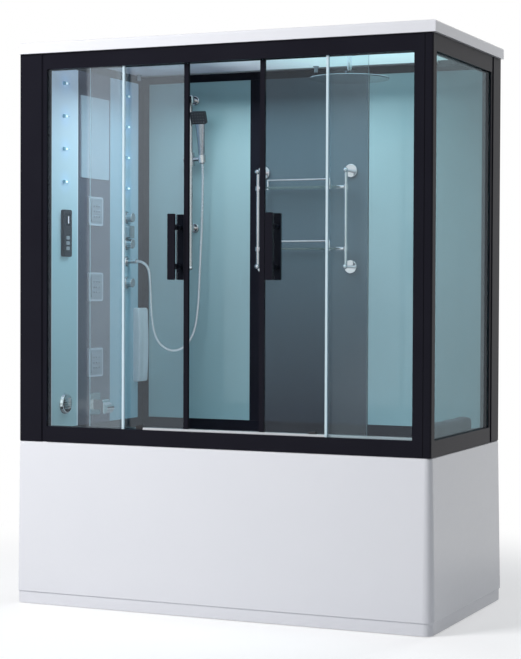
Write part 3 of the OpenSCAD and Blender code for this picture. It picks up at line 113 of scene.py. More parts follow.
def smoothLine(route, steps):
    points = [Vector(p) for p in route]
    line = []
    for i in range(len(points) - 1):
        a, b, c, d = (points[max(0, min(len(points) - 1, i + k))] for k in (-1, 0, 1, 2))
        for k in range(steps):
            t = k / steps
            line.append(0.5 * (2 * b + (c - a) * t + (2 * a - 5 * b + 4 * c - d) * t * t
                               + (3 * b - a - 3 * c + d) * t * t * t))
    return line + [points[-1]]


def lineLength(line):
    return sum((b - a).length for a, b in zip(line, line[1:]))


def evenLine(line, gap):
    # the same line with points a fixed distance apart
    count = round(lineLength(line) / gap)
    want = lineLength(line) / count
    out, run, target = [line[0]], 0.0, want
    for a, b in zip(line, line[1:]):
        size = (b - a).length
        while run + size >= target and len(out) < count:
            out.append(a.lerp(b, (target - run) / size))
            target += want
        run += size
    out.append(line[-1])
    return out


def linkedTube(name, spine, h):
    # rings of points round the spine, drawn in at each groove
    side, n = Vector((0, 1, 0)), h["sides"]
    points, faces = [], []
    for i, p in enumerate(spine):
        ahead = (spine[min(i + 1, len(spine) - 1)] - spine[max(i - 1, 0)]).normalized()
        side = (side - ahead * side.dot(ahead)).normalized()
        over = ahead.cross(side)
        radius = h["radius"] - h["groove"] * h["profile"][i % len(h["profile"])]
        for k in range(n):
            a = 2 * math.pi * k / n
            points.append(p + radius * (math.cos(a) * side + math.sin(a) * over))
    for i in range(len(spine) - 1):
        for k in range(n):
            faces.append((i * n + k, i * n + (k + 1) % n, (i + 1) * n + (k + 1) % n, (i + 1) * n + k))
    faces.append(tuple(range(n - 1, -1, -1)))
    faces.append(tuple((len(spine) - 1) * n + k for k in range(n)))
    mesh = bpy.data.meshes.new(name)
    mesh.from_pydata([tuple(p) for p in points], [], faces)
    mesh.update()
    for face in mesh.polygons:
        face.use_smooth = True
    piece = bpy.data.objects.new(name, mesh)
    bpy.context.scene.collection.objects.link(piece)
    return piece


def addHose(h):
    line = smoothLine(h["route"], h["steps"])
    piece = linkedTube("steelHose", evenLine(line, h["link"] / len(h["profile"])), h)
    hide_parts("shower_hose")
    lineLength(line)
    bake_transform(piece)
    print("hose length", round(lineLength(line), 3))
    return piece


steelHose = addHose(hose)


# help for the modelled pieces

def pickAll():
    bpy.ops.mesh.select_all(action="SELECT")


def start(name, kind, scale=(1, 1, 1), **place):
    # a new primitive, alone in the selection and open in edit mode
    bpy.ops.object.select_all(action="DESELECT")
    getattr(bpy.ops.mesh, "primitive_" + kind + "_add")(**place)
    piece = bpy.context.object
    piece.name = piece.data.name = name
    piece.scale = scale
    bpy.ops.object.transform_apply(location=True, rotation=True, scale=True)
    bpy.ops.object.mode_set(mode="EDIT")
    return piece


def pick(piece, kind, test):
    # selects the points, edges or faces that pass the test
    bpy.ops.mesh.select_mode(type=kind)
    bpy.ops.mesh.select_all(action="DESELECT")
    mesh = bmesh.from_edit_mesh(piece.data)
    if kind == "VERT":
        for point in mesh.verts:
            point.select = test(point.co)
    elif kind == "EDGE":
        for edge in mesh.edges:
            edge.select = test(edge)
    else:
        for face in mesh.faces:
            face.select = test(face.calc_center_median(), face.normal)
    mesh.select_flush_mode()
    bmesh.update_edit_mesh(piece.data)


def near(a, b, slack=0.0005):
    return abs(a - b) < slack


def facesUp(centre, normal):
    return normal.z > 0.99


def cutAcross(places, axis):
    # loops of edges right round the piece, square to an axis
    square = [1 if k == axis else 0 for k in range(3)]
    for place in places:
        pickAll()
        bpy.ops.mesh.bisect(plane_co=[place * k for k in square], plane_no=square)


def resize(size, about):
    bpy.ops.transform.resize(value=size, center_override=about)


def extrudeTo(move, size=(1, 1, 1), about=(0, 0, 0)):
    bpy.ops.mesh.extrude_region_move(TRANSFORM_OT_translate={"value": move})
    resize(size, about)


def roundOff(radius, steps, what="EDGES"):
    bpy.ops.mesh.bevel(offset=radius, segments=steps, affect=what)


def finishPiece(piece, modifiers=(), angle=40):
    if piece.mode == "EDIT":
        pickAll()
        bpy.ops.mesh.remove_doubles(threshold=0.00001)
        bpy.ops.mesh.normals_make_consistent(inside=False)
        bpy.ops.object.mode_set(mode="OBJECT")
    for kind, settings in modifiers:
        extra = piece.modifiers.new(kind.lower(), kind)
        for name, value in settings.items():
            setattr(extra, name, value)
        bpy.ops.object.modifier_apply(modifier=extra.name)
    bpy.ops.object.shade_smooth_by_angle(angle=math.radians(angle))
    print("modelled", piece.name, len(piece.data.polygons))
    return piece


def softened(levels):
    return [("SUBSURF", {"levels": levels, "render_levels": levels})]


def joinAll(pieces):
    bpy.ops.object.select_all(action="DESELECT")
    for piece in pieces:
        piece.select_set(True)
    bpy.context.view_layer.objects.active = pieces[0]
    bpy.ops.object.join()
    return pieces[0]


def placePiece(piece, matrix):
    piece.data.transform(matrix)
    return piece


def copyOf(piece):
    twin = piece.copy()
    twin.data = piece.data.copy()
    bpy.context.scene.collection.objects.link(twin)
    return twin


def standFor(piece, node, body="root"):
    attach(piece, body)
    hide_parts(node)
    return piece


# the bath: one formed sheet with a rounded lip, leaning ends and a wide round at the floor

bath = {
    "deck": (0.175, 0.112, 0.075),     # width of the deck at the left, at the right and at the two long sides
    "corner": 0.021,                   # round corner of the deck at the front right
    "otherCorners": 0.002,
    "mouthRound": 0.110,
    "roundSteps": 9,
    "lip": 0.009,
    "floor": 0.200,                    # height of the basin's floor
    "lean": (0.070, 0.230, 0.060),     # how far the walls lean in at the left, at the right and at the sides
    "floorRound": 0.080,
    "dish": (0.62, 0.45, 0.004),       # its share of the floor's length and width, and its depth
    "fold": 0.040,                     # turned-down edge
    "foldRound": 0.003,
    "wall": 0.006,
    "board": ((-0.09, 0.006, 0.184), (0.84, 0.38, 0.014)),   # middle and size of the board under the floor
    "boardRound": 0.003,
}


def addDeck(b, low, high, mouthLow, mouthHigh):
    # the deck and the sheet over the mouth, as one flat piece
    mouth, size = (mouthLow + mouthHigh) / 2, mouthHigh - mouthLow
    shell = start("bathShell", "plane", (size.x, size.y, 1), size=1, location=mouth)
    pickAll()
    roundOff(b["mouthRound"], b["roundSteps"], "VERTICES")
    # the deck's outline has as many points as the mouth's, so the two are bridged
    middle = Vector(((low.x + high.x) / 2, (low.y + high.y) / 2, high.z))
    bpy.ops.mesh.primitive_plane_add(size=1, location=middle)
    resize((high.x - low.x, high.y - low.y, 1), middle)

    def atCorner(v):
        return near(v.x, high.x) and near(v.y, low.y)
    pick(shell, "VERT", lambda v: (near(v.x, low.x) or near(v.x, high.x)) and not atCorner(v))
    roundOff(b["otherCorners"], b["roundSteps"], "VERTICES")
    pick(shell, "VERT", atCorner)
    roundOff(b["corner"], b["roundSteps"], "VERTICES")
    pickAll()
    bpy.ops.mesh.delete(type="ONLY_FACE")
    pickAll()
    bpy.ops.mesh.bridge_edge_loops()

    def inMouth(v):
        return all(mouthLow[k] - 0.001 < v[k] < mouthHigh[k] + 0.001 for k in (0, 1))
    pick(shell, "EDGE", lambda e: inMouth(e.verts[0].co) and inMouth(e.verts[1].co))
    bpy.ops.mesh.edge_face_add()
    return shell


def addBath(b):
    low, high = (Vector(v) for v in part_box("bathtub"))
    top = high.z
    frameFront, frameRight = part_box("front_sill_rail")[0][1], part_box("side_rails")[1][0]
    mouthLow = Vector((low.x + b["deck"][0], frameFront + b["deck"][2], top))
    mouthHigh = Vector((frameRight - b["deck"][1], high.y - b["deck"][2], top))
    mouth, size = (mouthLow + mouthHigh) / 2, mouthHigh - mouthLow
    shell = addDeck(b, low, high, mouthLow, mouthHigh)

    # the basin is pressed down from the mouth, and its floor is dished
    pick(shell, "FACE", lambda c, n: near((c - mouth).length, 0, 0.05))
    left, right, side = b["lean"]
    shift, drop = (left - right) / 2, b["floor"] - top
    extrudeTo((0, 0, drop), ((size.x - left - right) / size.x, (size.y - 2 * side) / size.y, 1), mouth)
    bpy.ops.transform.translate(value=(shift, 0, 0))
    dishLong, dishWide, dishDeep = b["dish"]
    extrudeTo((0, 0, -dishDeep), (dishLong, dishWide, 1), mouth + Vector((shift, 0, drop)))

    def turns(edge, height, least=0.3):
        # level edges at a height where the sheet turns by more than the least angle
        return near(edge.verts[0].co.z, height) and near(edge.verts[1].co.z, height) \
            and len(edge.link_faces) == 2 and edge.calc_face_angle(0) > least
    pick(shell, "EDGE", lambda e: turns(e, b["floor"]))
    roundOff(b["floorRound"], 8)
    pick(shell, "EDGE", lambda e: turns(e, top))
    roundOff(b["lip"], 4)
    pick(shell, "EDGE", lambda e: e.is_boundary)
    extrudeTo((0, 0, -b["fold"]))
    pick(shell, "EDGE", lambda e: turns(e, top, 1))
    roundOff(b["foldRound"], 3)
    finishPiece(shell, [("SOLIDIFY", {"thickness": b["wall"], "offset": -1.0})], angle=38)

    place, span = b["board"]
    board = start("bathBoard", "cube", span, size=1, location=place)
    pickAll()
    roundOff(b["boardRound"], 2)
    finishPiece(board)
    return standFor(joinAll([shell, board]), "bathtub")


bathShell = addBath(bath)


# the head cushion: moulded foam with a soft skin, channels across it and drawn-in ends

cushion = {
    "lean": 0.034,             # how far its front leans back over its height
    "levels": (-0.2, 0.25),    # level loops, as shares of its height from the middle
    "behind": 0.1,             # upright loop, as a share of its depth from the middle
    "endLoops": (0.02, 0.05),
    "channels": 3,
    "channelWide": 0.010,      # half the width of a channel
    "channelFlat": 0.25,       # share of that width that is flat
    "channelDeep": 0.13,       # share of the section that a channel takes away
    "foot": 0.01,              # the channels leave this much of its foot alone
    "core": 0.3,               # sections shrink to here: share of the depth from the back, and of the height
    "ends": (0.86, 0.02),      # what is left of the section at the ends, and the height they are drawn in to
    "gap": 0.0005,             # clear of the solid's space on each side
}


def sizeTo(piece, low, size, gap):
    # fits the piece into its space again, since softening draws a form in
    points = [v.co for v in piece.data.vertices]
    newLow = Vector([min(p[k] for p in points) for k in range(3)])
    newHigh = Vector([max(p[k] for p in points) for k in range(3)])
    share = [(a - 2 * gap) / b for a, b in zip(size, newHigh - newLow)]
    placePiece(piece, Matrix.Translation(low + Vector((gap,) * 3)) @ Matrix.Diagonal((*share, 1))
               @ Matrix.Translation(-newLow))


def addCushion(c):
    low, high = (Vector(v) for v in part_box("headrest"))
    middle, size = (low + high) / 2, high - low
    piece = start("headCushion", "cube", size, size=1, location=middle)
    pick(piece, "VERT", lambda v: v.x < middle.x and v.z > middle.z)
    bpy.ops.transform.translate(value=(c["lean"], 0, 0))
    cutAcross([middle.z + share * size.z for share in c["levels"]], 2)
    cutAcross([middle.x + c["behind"] * size.x], 0)
    wide, flat = c["channelWide"], c["channelFlat"] * c["channelWide"]
    grooves = [low.y + size.y * (k + 1) / (c["channels"] + 1) for k in range(c["channels"])]
    cuts = [low.y + loop for loop in c["endLoops"]] + [high.y - loop for loop in c["endLoops"]]
    for y in grooves:
        cuts += [y - wide, y - flat, y + flat, y + wide]
    cutAcross(cuts, 1)
    core = Vector((high.x - c["core"] * size.x, 0, low.z + c["core"] * size.z))
    for y in grooves:
        pick(piece, "VERT", lambda v: near(v.y, y, 1.1 * flat) and v.z > low.z + c["foot"])
        share = 1 - c["channelDeep"]
        resize((share, 1, share), (core.x, y, core.z))
    share, height = c["ends"]
    for y in (low.y, high.y):
        pick(piece, "VERT", lambda v: near(v.y, y))
        resize((share, 1, share), (core.x, y, low.z + height))
    finishPiece(piece, softened(3), angle=80)
    sizeTo(piece, low, size, c["gap"])
    return standFor(piece, "headrest")


headCushion = addCushion(cushion)


# the hand shower: a flat tapered handle that is round where the holder grips it, and a black spray plate

handShower = {
    "place": (-0.436, 0.356, 1.790),   # middle of the holder's cone
    "lean": 8,                         # degrees
    "below": 0.020,                    # how far the handle's foot is under that middle
    "handle": [                        # height, half width, half thickness
        (0.000, 0.0110, 0.0110), (0.006, 0.0110, 0.0110), (0.008, 0.0132, 0.0132), (0.038, 0.0132, 0.0132),
        (0.042, 0.0145, 0.0140), (0.060, 0.0150, 0.0122), (0.085, 0.0162, 0.0108), (0.120, 0.0185, 0.0100),
        (0.155, 0.0208, 0.0100), (0.172, 0.0215, 0.0100), (0.178, 0.0205, 0.0090),
    ],
    "headRim": 0.003,                  # flat rings at the two ends of the handle
    "footRim": 0.002,
    "plate": (0.072, 0.054, 0.015),
    "plateAt": (0, -0.012, 0.194),
    "plateTurn": 104,                  # degrees
    "plateRound": 0.007,
    "plateEdge": 0.0015,
    "face": (0.003, 0.001),            # rim of the plate's face, and how deep the face lies
    "nozzles": (5, 4),                 # across the plate and along it
    "nozzleGap": 0.012,
    "nozzle": (0.0024, 0.0013, 0.0024),   # radius of its foot and of its tip, and its height
    "nozzleSunk": 0.0002,
    "bore": (0.0005, 0.0008),          # wall round a nozzle's bore, and the bore's depth
}


def addHandle(h):
    base, wide, thick = h["handle"][0]
    handle = start("showerHandle", "circle", (wide, thick, 1), vertices=32, radius=1, fill_type="NGON")
    pick(handle, "FACE", lambda c, n: True)
    for height, nextWide, nextThick in h["handle"][1:]:
        extrudeTo((0, 0, height - base), (nextWide / wide, nextThick / thick, 1))
        base, wide, thick = height, nextWide, nextThick
    bpy.ops.mesh.inset(thickness=h["headRim"])
    pick(handle, "FACE", lambda c, n: near(c.z, 0) and abs(n.z) > 0.9)
    bpy.ops.mesh.inset(thickness=h["footRim"])
    return finishPiece(handle, softened(1), angle=32)


def addSprayPlate(h):
    plate = start("sprayPlate", "cube", h["plate"], size=1)
    pick(plate, "EDGE", lambda e: not near(e.verts[0].co.z, e.verts[1].co.z))
    roundOff(h["plateRound"], 5)
    pick(plate, "EDGE", lambda e: near(e.verts[0].co.z, e.verts[1].co.z))
    roundOff(h["plateEdge"], 3)
    pick(plate, "FACE", facesUp)
    rim, depth = h["face"]
    bpy.ops.mesh.inset(thickness=rim)
    extrudeTo((0, 0, -depth))
    return finishPiece(plate, angle=32)


def addNozzles(h):
    # one nozzle with its bore, and copies of it in rows on the plate
    foot, tip, height = h["nozzle"]
    wall, depth = h["bore"]
    nozzle = start("sprayNozzles", "cone", vertices=10, radius1=foot, radius2=tip, depth=height)
    pick(nozzle, "FACE", facesUp)
    bpy.ops.mesh.inset(thickness=wall)
    extrudeTo((0, 0, -depth))
    bpy.ops.object.mode_set(mode="OBJECT")
    across, along = ([(k - (count - 1) / 2) * h["nozzleGap"] for k in range(count)] for count in h["nozzles"])
    places = [(x, y, h["plate"][2] / 2 - h["nozzleSunk"]) for x in across for y in along]
    nozzles = [nozzle] + [copyOf(nozzle) for place in places[1:]]
    for piece, place in zip(nozzles, places):
        placePiece(piece, Matrix.Translation(place))
    return finishPiece(joinAll(nozzles))


def addHandShower(h):
    stand = Matrix.Translation(h["place"]) @ Matrix.Rotation(math.radians(h["lean"]), 4, "X") \
        @ Matrix.Translation((0, 0, -h["below"]))
    atPlate = stand @ Matrix.Translation(h["plateAt"]) @ Matrix.Rotation(math.radians(h["plateTurn"]), 4, "X")
    handle = placePiece(addHandle(h), stand)
    plate = placePiece(addSprayPlate(h), atPlate)
    nozzles = placePiece(addNozzles(h), atPlate)
    standFor(handle, "hand_shower", "shower_slider")
    for piece in (plate, nozzles):
        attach(piece, "shower_slider")
    return handle, plate, nozzles


showerHandle, sprayPlate, sprayNozzles = addHandShower(handShower)


# the back rest: a moulded slab with a soft swell and rolled edges

backRest = {
    "round": 0.009,        # of its four long edges
    "rimRound": 0.006,     # of the edges round its front
    "bands": 8,            # steps that the swell goes in, up the slab
    "swell": 0.005,        # how much thinner it is at its top and foot
    "hollow": 0.0035,      # depth of the upright hollow down its middle
    "hollowLoops": (-0.018, -0.009, 0, 0.009, 0.018),
    "hollowWide": 0.012,   # half the hollow's width
    "hollowEnds": 0.03,    # the hollow stops this far from the top and the foot
}


def addBackRest(b):
    low, high = (Vector(v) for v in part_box("massage_pad"))
    middle, size, bands = (low + high) / 2, high - low, b["bands"]
    piece = start("backRestPad", "cube", size, size=1, location=middle)
    pick(piece, "EDGE", lambda e: near(abs(e.verts[0].co.x - e.verts[1].co.x), size.x))
    roundOff(b["round"], 4)
    cutAcross([low.z + size.z * k / bands for k in range(1, bands)], 2)
    cutAcross([middle.y + loop for loop in b["hollowLoops"]], 1)
    for k in range(bands + 1):
        level = low.z + size.z * k / bands
        pick(piece, "VERT", lambda v: near(v.z, level, size.z / bands / 2) and v.x > middle.x)
        bpy.ops.transform.translate(value=(-b["swell"] * (1 - math.sin(math.pi * k / bands)), 0, 0))

    def inHollow(v):
        return v.x > middle.x and near(v.y, middle.y, b["hollowWide"]) \
            and low.z + b["hollowEnds"] < v.z < high.z - b["hollowEnds"]
    pick(piece, "VERT", inHollow)
    bpy.ops.transform.translate(value=(-b["hollow"], 0, 0))

    def aroundFront(e):
        return e.verts[0].co.x > middle.x and e.verts[1].co.x > middle.x and e.calc_face_angle(0) > 0.9
    pick(piece, "EDGE", aroundFront)
    roundOff(b["rimRound"], 4)
    return standFor(finishPiece(piece, angle=50), "massage_pad")


backRestPad = addBackRest(backRest)


# materials

class Wire:
    # a socket, which can stand in a sum
    def __init__(self, nodes, socket):
        self.nodes, self.socket = nodes, socket

    def join(self, operation, other, turned=False):
        pair = (other, self) if turned else (self, other)
        return self.nodes.node("Math", {"operation": operation}, {0: pair[0], 1: pair[1]})

    def one(self, operation):
        return self.nodes.node("Math", {"operation": operation}, {0: self})

    def __add__(self, other):
        return self.join("ADD", other)

    def __sub__(self, other):
        return self.join("SUBTRACT", other)

    def __rsub__(self, other):
        return self.join("SUBTRACT", other, True)

    def __mul__(self, other):
        return self.join("MULTIPLY", other)

    def __truediv__(self, other):
        return self.join("DIVIDE", other)

    def __gt__(self, other):
        return self.join("GREATER_THAN", other)

    def __lt__(self, other):
        return self.join("LESS_THAN", other)

    def __abs__(self):
        return self.one("ABSOLUTE")

    __radd__ = __add__
    __rmul__ = __mul__

    def within(self, low, high):
        # 0 at low, 1 at high, smooth between and level beyond, whichever of the two is larger
        return self.nodes.node("MapRange", {"interpolation_type": "SMOOTHSTEP", "clamp": True},
                               {"Value": self, "From Min": low, "From Max": high})


class Nodes:
    # the nodes of a material or of the world
    def __init__(self, owner):
        owner.use_nodes = True
        self.tree = owner.node_tree
        self.tree.nodes.clear()

    def node(self, kind, settings=None, values=None, out=0):
        made = self.tree.nodes.new("ShaderNode" + kind)
        for name, value in (settings or {}).items():
            if name == "stops":
                for i, (at, colour) in enumerate(value):
                    stop = made.color_ramp.elements[i] if i < 2 else made.color_ramp.elements.new(at)
                    stop.position, stop.color = at, (*colour, 1)
            else:
                setattr(made, name, value)
        for name, value in (values or {}).items():
            socket = made.inputs[name]
            if isinstance(value, Wire):
                self.tree.links.new(value.socket, socket)
            else:
                socket.default_value = (*value, 1) if socket.type == "RGBA" else value
        return Wire(self, made.outputs[out]) if len(made.outputs) else None

    def blend(self, share, a, b, how="MIX"):
        # its factor and its two colours are the sockets 0, 6 and 7, and 2 is the colour that comes out
        return self.node("Mix", {"data_type": "RGBA", "blend_type": how}, {0: share, 6: a, 7: b}, 2)

    def seen(self):
        # 1 where the camera looks, straight, in a mirror or through a pane
        kinds = ("Is Camera Ray", "Is Glossy Ray", "Is Transmission Ray")
        straight, mirrored, through = (self.node("LightPath", {}, {}, kind) for kind in kinds)
        return (straight + mirrored + through).within(0.0, 1.0)


class Paint(Nodes):
    # one material
    def __init__(self, name):
        self.material = bpy.data.materials.new(name)
        super().__init__(self.material)
        self.place = self.node("TexCoord", {}, {}, "Object")

    def axis(self, name):
        return self.node("SeparateXYZ", {}, {0: self.place}, name)

    def facing(self, name):
        # how far the surface looks along an axis, from -1 to 1
        return self.node("SeparateXYZ", {}, {0: self.node("NewGeometry", {}, {}, "Normal")}, name)

    def noise(self, size, detail=2.0, stretch=None):
        # size is the width of one speck, in metres
        where = self.place
        if stretch:
            where = self.node("Mapping", {}, {"Vector": where, "Scale": stretch})
        return self.node("TexNoise", {}, {"Vector": where, "Scale": 1 / size, "Detail": detail}, "Fac")

    def bump(self, height, depth):
        return self.node("Bump", {}, {"Height": height, "Distance": depth, "Strength": 1.0})

    def solid(self, values):
        return self.node("BsdfPrincipled", {}, values)

    def finish(self, shader):
        self.node("OutputMaterial", {}, {"Surface": shader})
        return self.material

    def finishSolid(self, values):
        return self.finish(self.solid(values))


def shaded(tint, share):
    return [c * share for c in tint]


# painted light on the roof's under side: a glow, dim at the left and bright at the right, that stands in for
# the lit ceiling inside the cabin

ceiling = {
    "tray": (-0.74, 0.78, -0.37, 0.36),    # what glows, from and to along x, and from and to along y
    "soft": 0.01,
    "run": (-0.8, 0.8),                    # the stops lie between these two places along x
    "stops": [(0.0, (0.05, 0.055, 0.08)), (0.3, (0.07, 0.08, 0.11)), (0.42, (0.31, 0.37, 0.43)),
              (0.58, (0.52, 0.73, 0.78)), (1.0, (0.60, 0.88, 0.92))],
}


def paintedCeilingLight(p):
    # painted light: the down-facing faces inside the tray glow in a colour that runs from dim at the left to
    # bright at the right
    x, y, soft = p.axis("X"), p.axis("Y"), ceiling["soft"]
    left, right, front, back = ceiling["tray"]
    inside = x.within(left, left + soft) + x.within(right, right - soft) \
        + y.within(front, front + soft) + y.within(back, back - soft) - 3.0
    first, last = ceiling["run"]
    light = p.node("ValToRGB", {"stops": ceiling["stops"]}, {0: (x - first) / (last - first)})
    return p.blend((p.facing("Z") < -0.5) * inside.within(0.0, 1.0), (0, 0, 0), light)


def acrylic(name, tint, shade, paintedLight=False):
    # glossy moulded sheet with a faint ripple, a little darker and rougher low down
    p = Paint(name)
    cloud, speck, ripple = p.noise(0.35, 3), p.noise(0.004, 4), p.noise(0.045, 1)
    low = p.axis("Z").within(0.16, 0.0)
    surface = {
        "Base Color": p.blend(cloud * 0.5 + low * 0.3, tint, shade),
        "Roughness": 0.13 + speck * 0.06 + low * 0.08, "Specular IOR Level": 0.45,
        "Coat Weight": 0.25, "Coat Roughness": 0.06, "Normal": p.bump(ripple + speck * 0.06, 0.0005)}
    # the roof's under side also gets painted light
    if paintedLight:
        surface.update({"Emission Color": paintedCeilingLight(p), "Emission Strength": 1.0})
    return p.finishSolid(surface)


def coatedAluminium(name, tint, edge):
    # satin powder coat with a very fine grain, a little lighter in patches
    p = Paint(name)
    grain, cloud = p.noise(0.0011), p.noise(0.22)
    return p.finishSolid({
        "Base Color": p.blend(cloud, tint, edge), "Roughness": 0.36 + grain * 0.14,
        "Specular IOR Level": 0.09, "Normal": p.bump(grain, 0.00012)})


def chrome(name, tint, rough, paintedReflectionDepth=0.55):
    # polished plate with a painted reflection: its under sides and the band at the horizon are painted as
    # dark as the room they would mirror
    p = Paint(name)
    smear, up = p.noise(0.03, 3), p.facing("Z")
    under, horizon = up.within(0.15, -0.55), abs(up).within(0.16, 0.02) * 0.35
    share = (under * 0.8 + horizon) * paintedReflectionDepth + smear * 0.08
    return p.finishSolid({
        "Base Color": p.blend(share, tint, shaded(tint, 0.12)), "Metallic": 1.0,
        "Roughness": rough + smear * 0.05})


def brushed(name, tint, finer, rough=0.24):
    # finer is how much finer the scratches are along each axis
    p = Paint(name)
    scratch, cloud = p.noise(0.0009, 3, finer), p.noise(0.08)
    return p.finishSolid({
        "Base Color": p.blend(scratch * 0.6 + cloud * 0.3, tint, shaded(tint, 0.78)), "Metallic": 1.0,
        "Roughness": rough + scratch * 0.14, "Normal": p.bump(scratch, 0.00006)})


def plastic(name, tint, rough, grain=0.0008, depth=0.00008):
    p = Paint(name)
    speck, cloud = p.noise(grain), p.noise(0.05)
    return p.finishSolid({
        "Base Color": p.blend(cloud * 0.6, tint, shaded(tint, 0.82)), "Roughness": rough + speck * 0.1,
        "Specular IOR Level": 0.4, "Normal": p.bump(speck, depth)})


# the band of painted reflection that some panes carry
paintedSheenBand = {
    "soft": 0.01,          # its upright edges fade over this much on each side
    "rise": (0.8, 2.0),    # the painted reflection grows between these heights
}


def clearGlass(name, tint, edge, paintedSheen, thin, sheen, sheenBandPlace=None):
    # a pane: what is behind shows through, with a mirror-like sheen that grows at a slant, and patches of
    # painted reflection all over
    # edge is the colour of its narrow edges, which on the front panes is the glass's own edge colour
    # lightened by a painted highlight, and thin is the axis that it is thin along
    # some panes also get an upright band of painted reflection: where it starts and ends along x, and how
    # much it adds low down and at the top
    p = Paint(name)
    rim, filmAndSheen = abs(p.facing(thin)) < 0.5, p.noise(0.3, 3) * 0.7
    clear = p.node("BsdfTransparent", {}, {"Color": tint})
    mirror = p.solid({
        "Base Color": p.blend(rim, (0.82, 0.90, 1.0), edge), "Metallic": 1.0 - rim,
        "Roughness": 0.02 + filmAndSheen * 0.03})
    share = p.node("Fresnel", {}, {"IOR": 1.45}) * sheen + filmAndSheen * paintedSheen + rim * 0.7
    if sheenBandPlace:
        x, z, soft = p.axis("X"), p.axis("Z"), paintedSheenBand["soft"]
        left, right, foot, top = sheenBandPlace
        share += x.within(left - soft, left + soft) * x.within(right + soft, right - soft) \
            * (z.within(*paintedSheenBand["rise"]) * (top - foot) + foot)
    return p.finish(p.node("MixShader", {}, {0: share, 1: clear, 2: mirror}))


# the rows of small wedge lamps on the equipment wall, and the light round them

wedgeLow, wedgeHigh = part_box("light_wedges")
wedgeSize = 0.014                    # height of one wedge
wedges = {
    "step": (wedgeHigh[2] - wedgeLow[2] - wedgeSize) / 3,
    "front": wedgeLow[1] + 0.018,    # middle of the front row, and below of the back one
    "back": wedgeHigh[1] - 0.026,
    "spot": (0.013, 0.003),          # the lamp in a wedge fades in between these distances from its middle
    "ring": (0.062, 0.012),          # and so does the light on the panel
    "fade": 0.03,                    # which ends over this height at the top and the foot of a row
}
wedges["low"] = wedgeLow[2] + wedgeSize / 2 - wedges["step"] / 2
wedges["high"] = wedgeHigh[2] - wedgeSize / 2 + wedges["step"] / 2


def fromWedge(p, upShare):
    # distance from the nearest wedge's middle, in which the height's square counts upShare times
    y, z = p.axis("Y"), p.axis("Z")
    up = ((z - wedges["low"]) / wedges["step"]).one("FRACT") * wedges["step"] - wedges["step"] / 2
    across = abs(y - wedges["front"]).join("MINIMUM", abs(y - wedges["back"]))
    return (across * across + up * up * upShare).one("SQRT")


def wedgeLamp(name):
    # clear wedge whose light sits at its middle
    p = Paint(name)
    spot = fromWedge(p, 2.0).within(*wedges["spot"])
    return p.finishSolid({
        "Base Color": p.blend(spot, (0.30, 0.48, 0.58), (0.9, 0.97, 1.0)), "Roughness": 0.12,
        "Coat Weight": 0.5, "Coat Roughness": 0.03,
        "Emission Color": p.blend(spot, (0.02, 0.07, 0.12), (0.75, 0.93, 1.0)), "Emission Strength": 1.0})


def wedgeGlow(p):
    # soft blue light that the wedges throw on the panel round them
    z, low, high, fade = p.axis("Z"), wedges["low"], wedges["high"], wedges["fade"]
    return fromWedge(p, 1.0).within(*wedges["ring"]) * z.within(low, low + fade) * z.within(high + fade, high)


# the wall panels, of glass lacquered on its back

panels = {
    "run": (0.7, 2.1),             # the stops lie between these two heights
    "strip": (0.100, 0.112),       # the lit panels turn darker between these places along y
    "edges": (-0.374, -0.168),     # and these are their polished edges
    "edgeFade": (0.005, 0.002),
}


def lacquerAndPaintedLight(p, stops):
    # the colour's run up the panel is painted light, shade and reflection; the faint upright bands are as
    # rolled glass shows
    foot, top = panels["run"]
    colour = p.node("ValToRGB", {"stops": stops}, {0: (p.axis("Z") - foot) / (top - foot)})
    bands = p.blend(p.noise(0.09, 1, (1, 1, 0.04)) * 0.35, (1, 1, 1), (0.78, 0.82, 0.85))
    return p.blend(1.0, colour, bands, "MULTIPLY")


def glazed(p, coat, shine, glow, gloss=0.5, level=0.3):
    return p.finishSolid({
        "Base Color": coat, "Roughness": 0.16 + p.noise(0.02, 3) * 0.08, "Specular IOR Level": level,
        "Coat Weight": gloss, "Coat Roughness": 0.03, "Emission Color": shine, "Emission Strength": glow})


# painted light: these panels are no lamps, yet they glow with their own colour
def backGlass(name, stops, glow, *sheen):
    p = Paint(name)
    coat = lacquerAndPaintedLight(p, stops)
    return glazed(p, coat, coat, glow, *sheen)


def litGlass(name, stops, glow):
    # with a darker strip at the rear, pale polished edges and the wedges' light
    p = Paint(name)
    y = p.axis("Y")
    front, rear = (abs(y - edge).within(*panels["edgeFade"]) for edge in panels["edges"])
    coat = p.blend(y.within(*panels["strip"]) * 0.55, lacquerAndPaintedLight(p, stops), (0.07, 0.20, 0.30))
    coat = p.blend((front + rear) * 0.6, coat, (0.80, 0.86, 0.94))
    return glazed(p, coat, p.blend(wedgeGlow(p) * 0.5, coat, (0.55, 0.90, 1.6)), glow)


def litLens(name, tint, strength):
    p = Paint(name)
    cell = p.node("TexVoronoi", {}, {"Vector": p.place, "Scale": 350.0}, "Distance")
    return p.finishSolid({
        "Base Color": p.blend(cell * 0.5, tint, shaded(tint, 0.9)), "Roughness": 0.25,
        "Emission Color": p.blend(cell * 0.6, tint, (1, 1, 1)), "Emission Strength": strength,
        "Normal": p.bump(cell, 0.0002)})


def silveredGlass(name, tint, shade):
    # a mirror behind a misty film, as after a bath; its glow of its own colour is painted light
    p = Paint(name)
    mist, drops = p.noise(0.12, 3), p.noise(0.006, 3)
    coat = p.blend(mist, tint, shade)
    return p.finishSolid({
        "Base Color": coat, "Metallic": 0.45, "Roughness": 0.12 + mist * 0.12 + drops * 0.06,
        "Coat Weight": 0.6, "Coat Roughness": 0.03, "Emission Color": coat, "Emission Strength": 0.25})


# the back jets' square plates

jetPlates = {
    "low": 0.937,              # height of the lowest plate's middle
    "step": 0.310,
    "middle": -0.029,          # along the wall
    "rim": (0.049, 0.054),     # the rim starts between these distances from a plate's middle
}


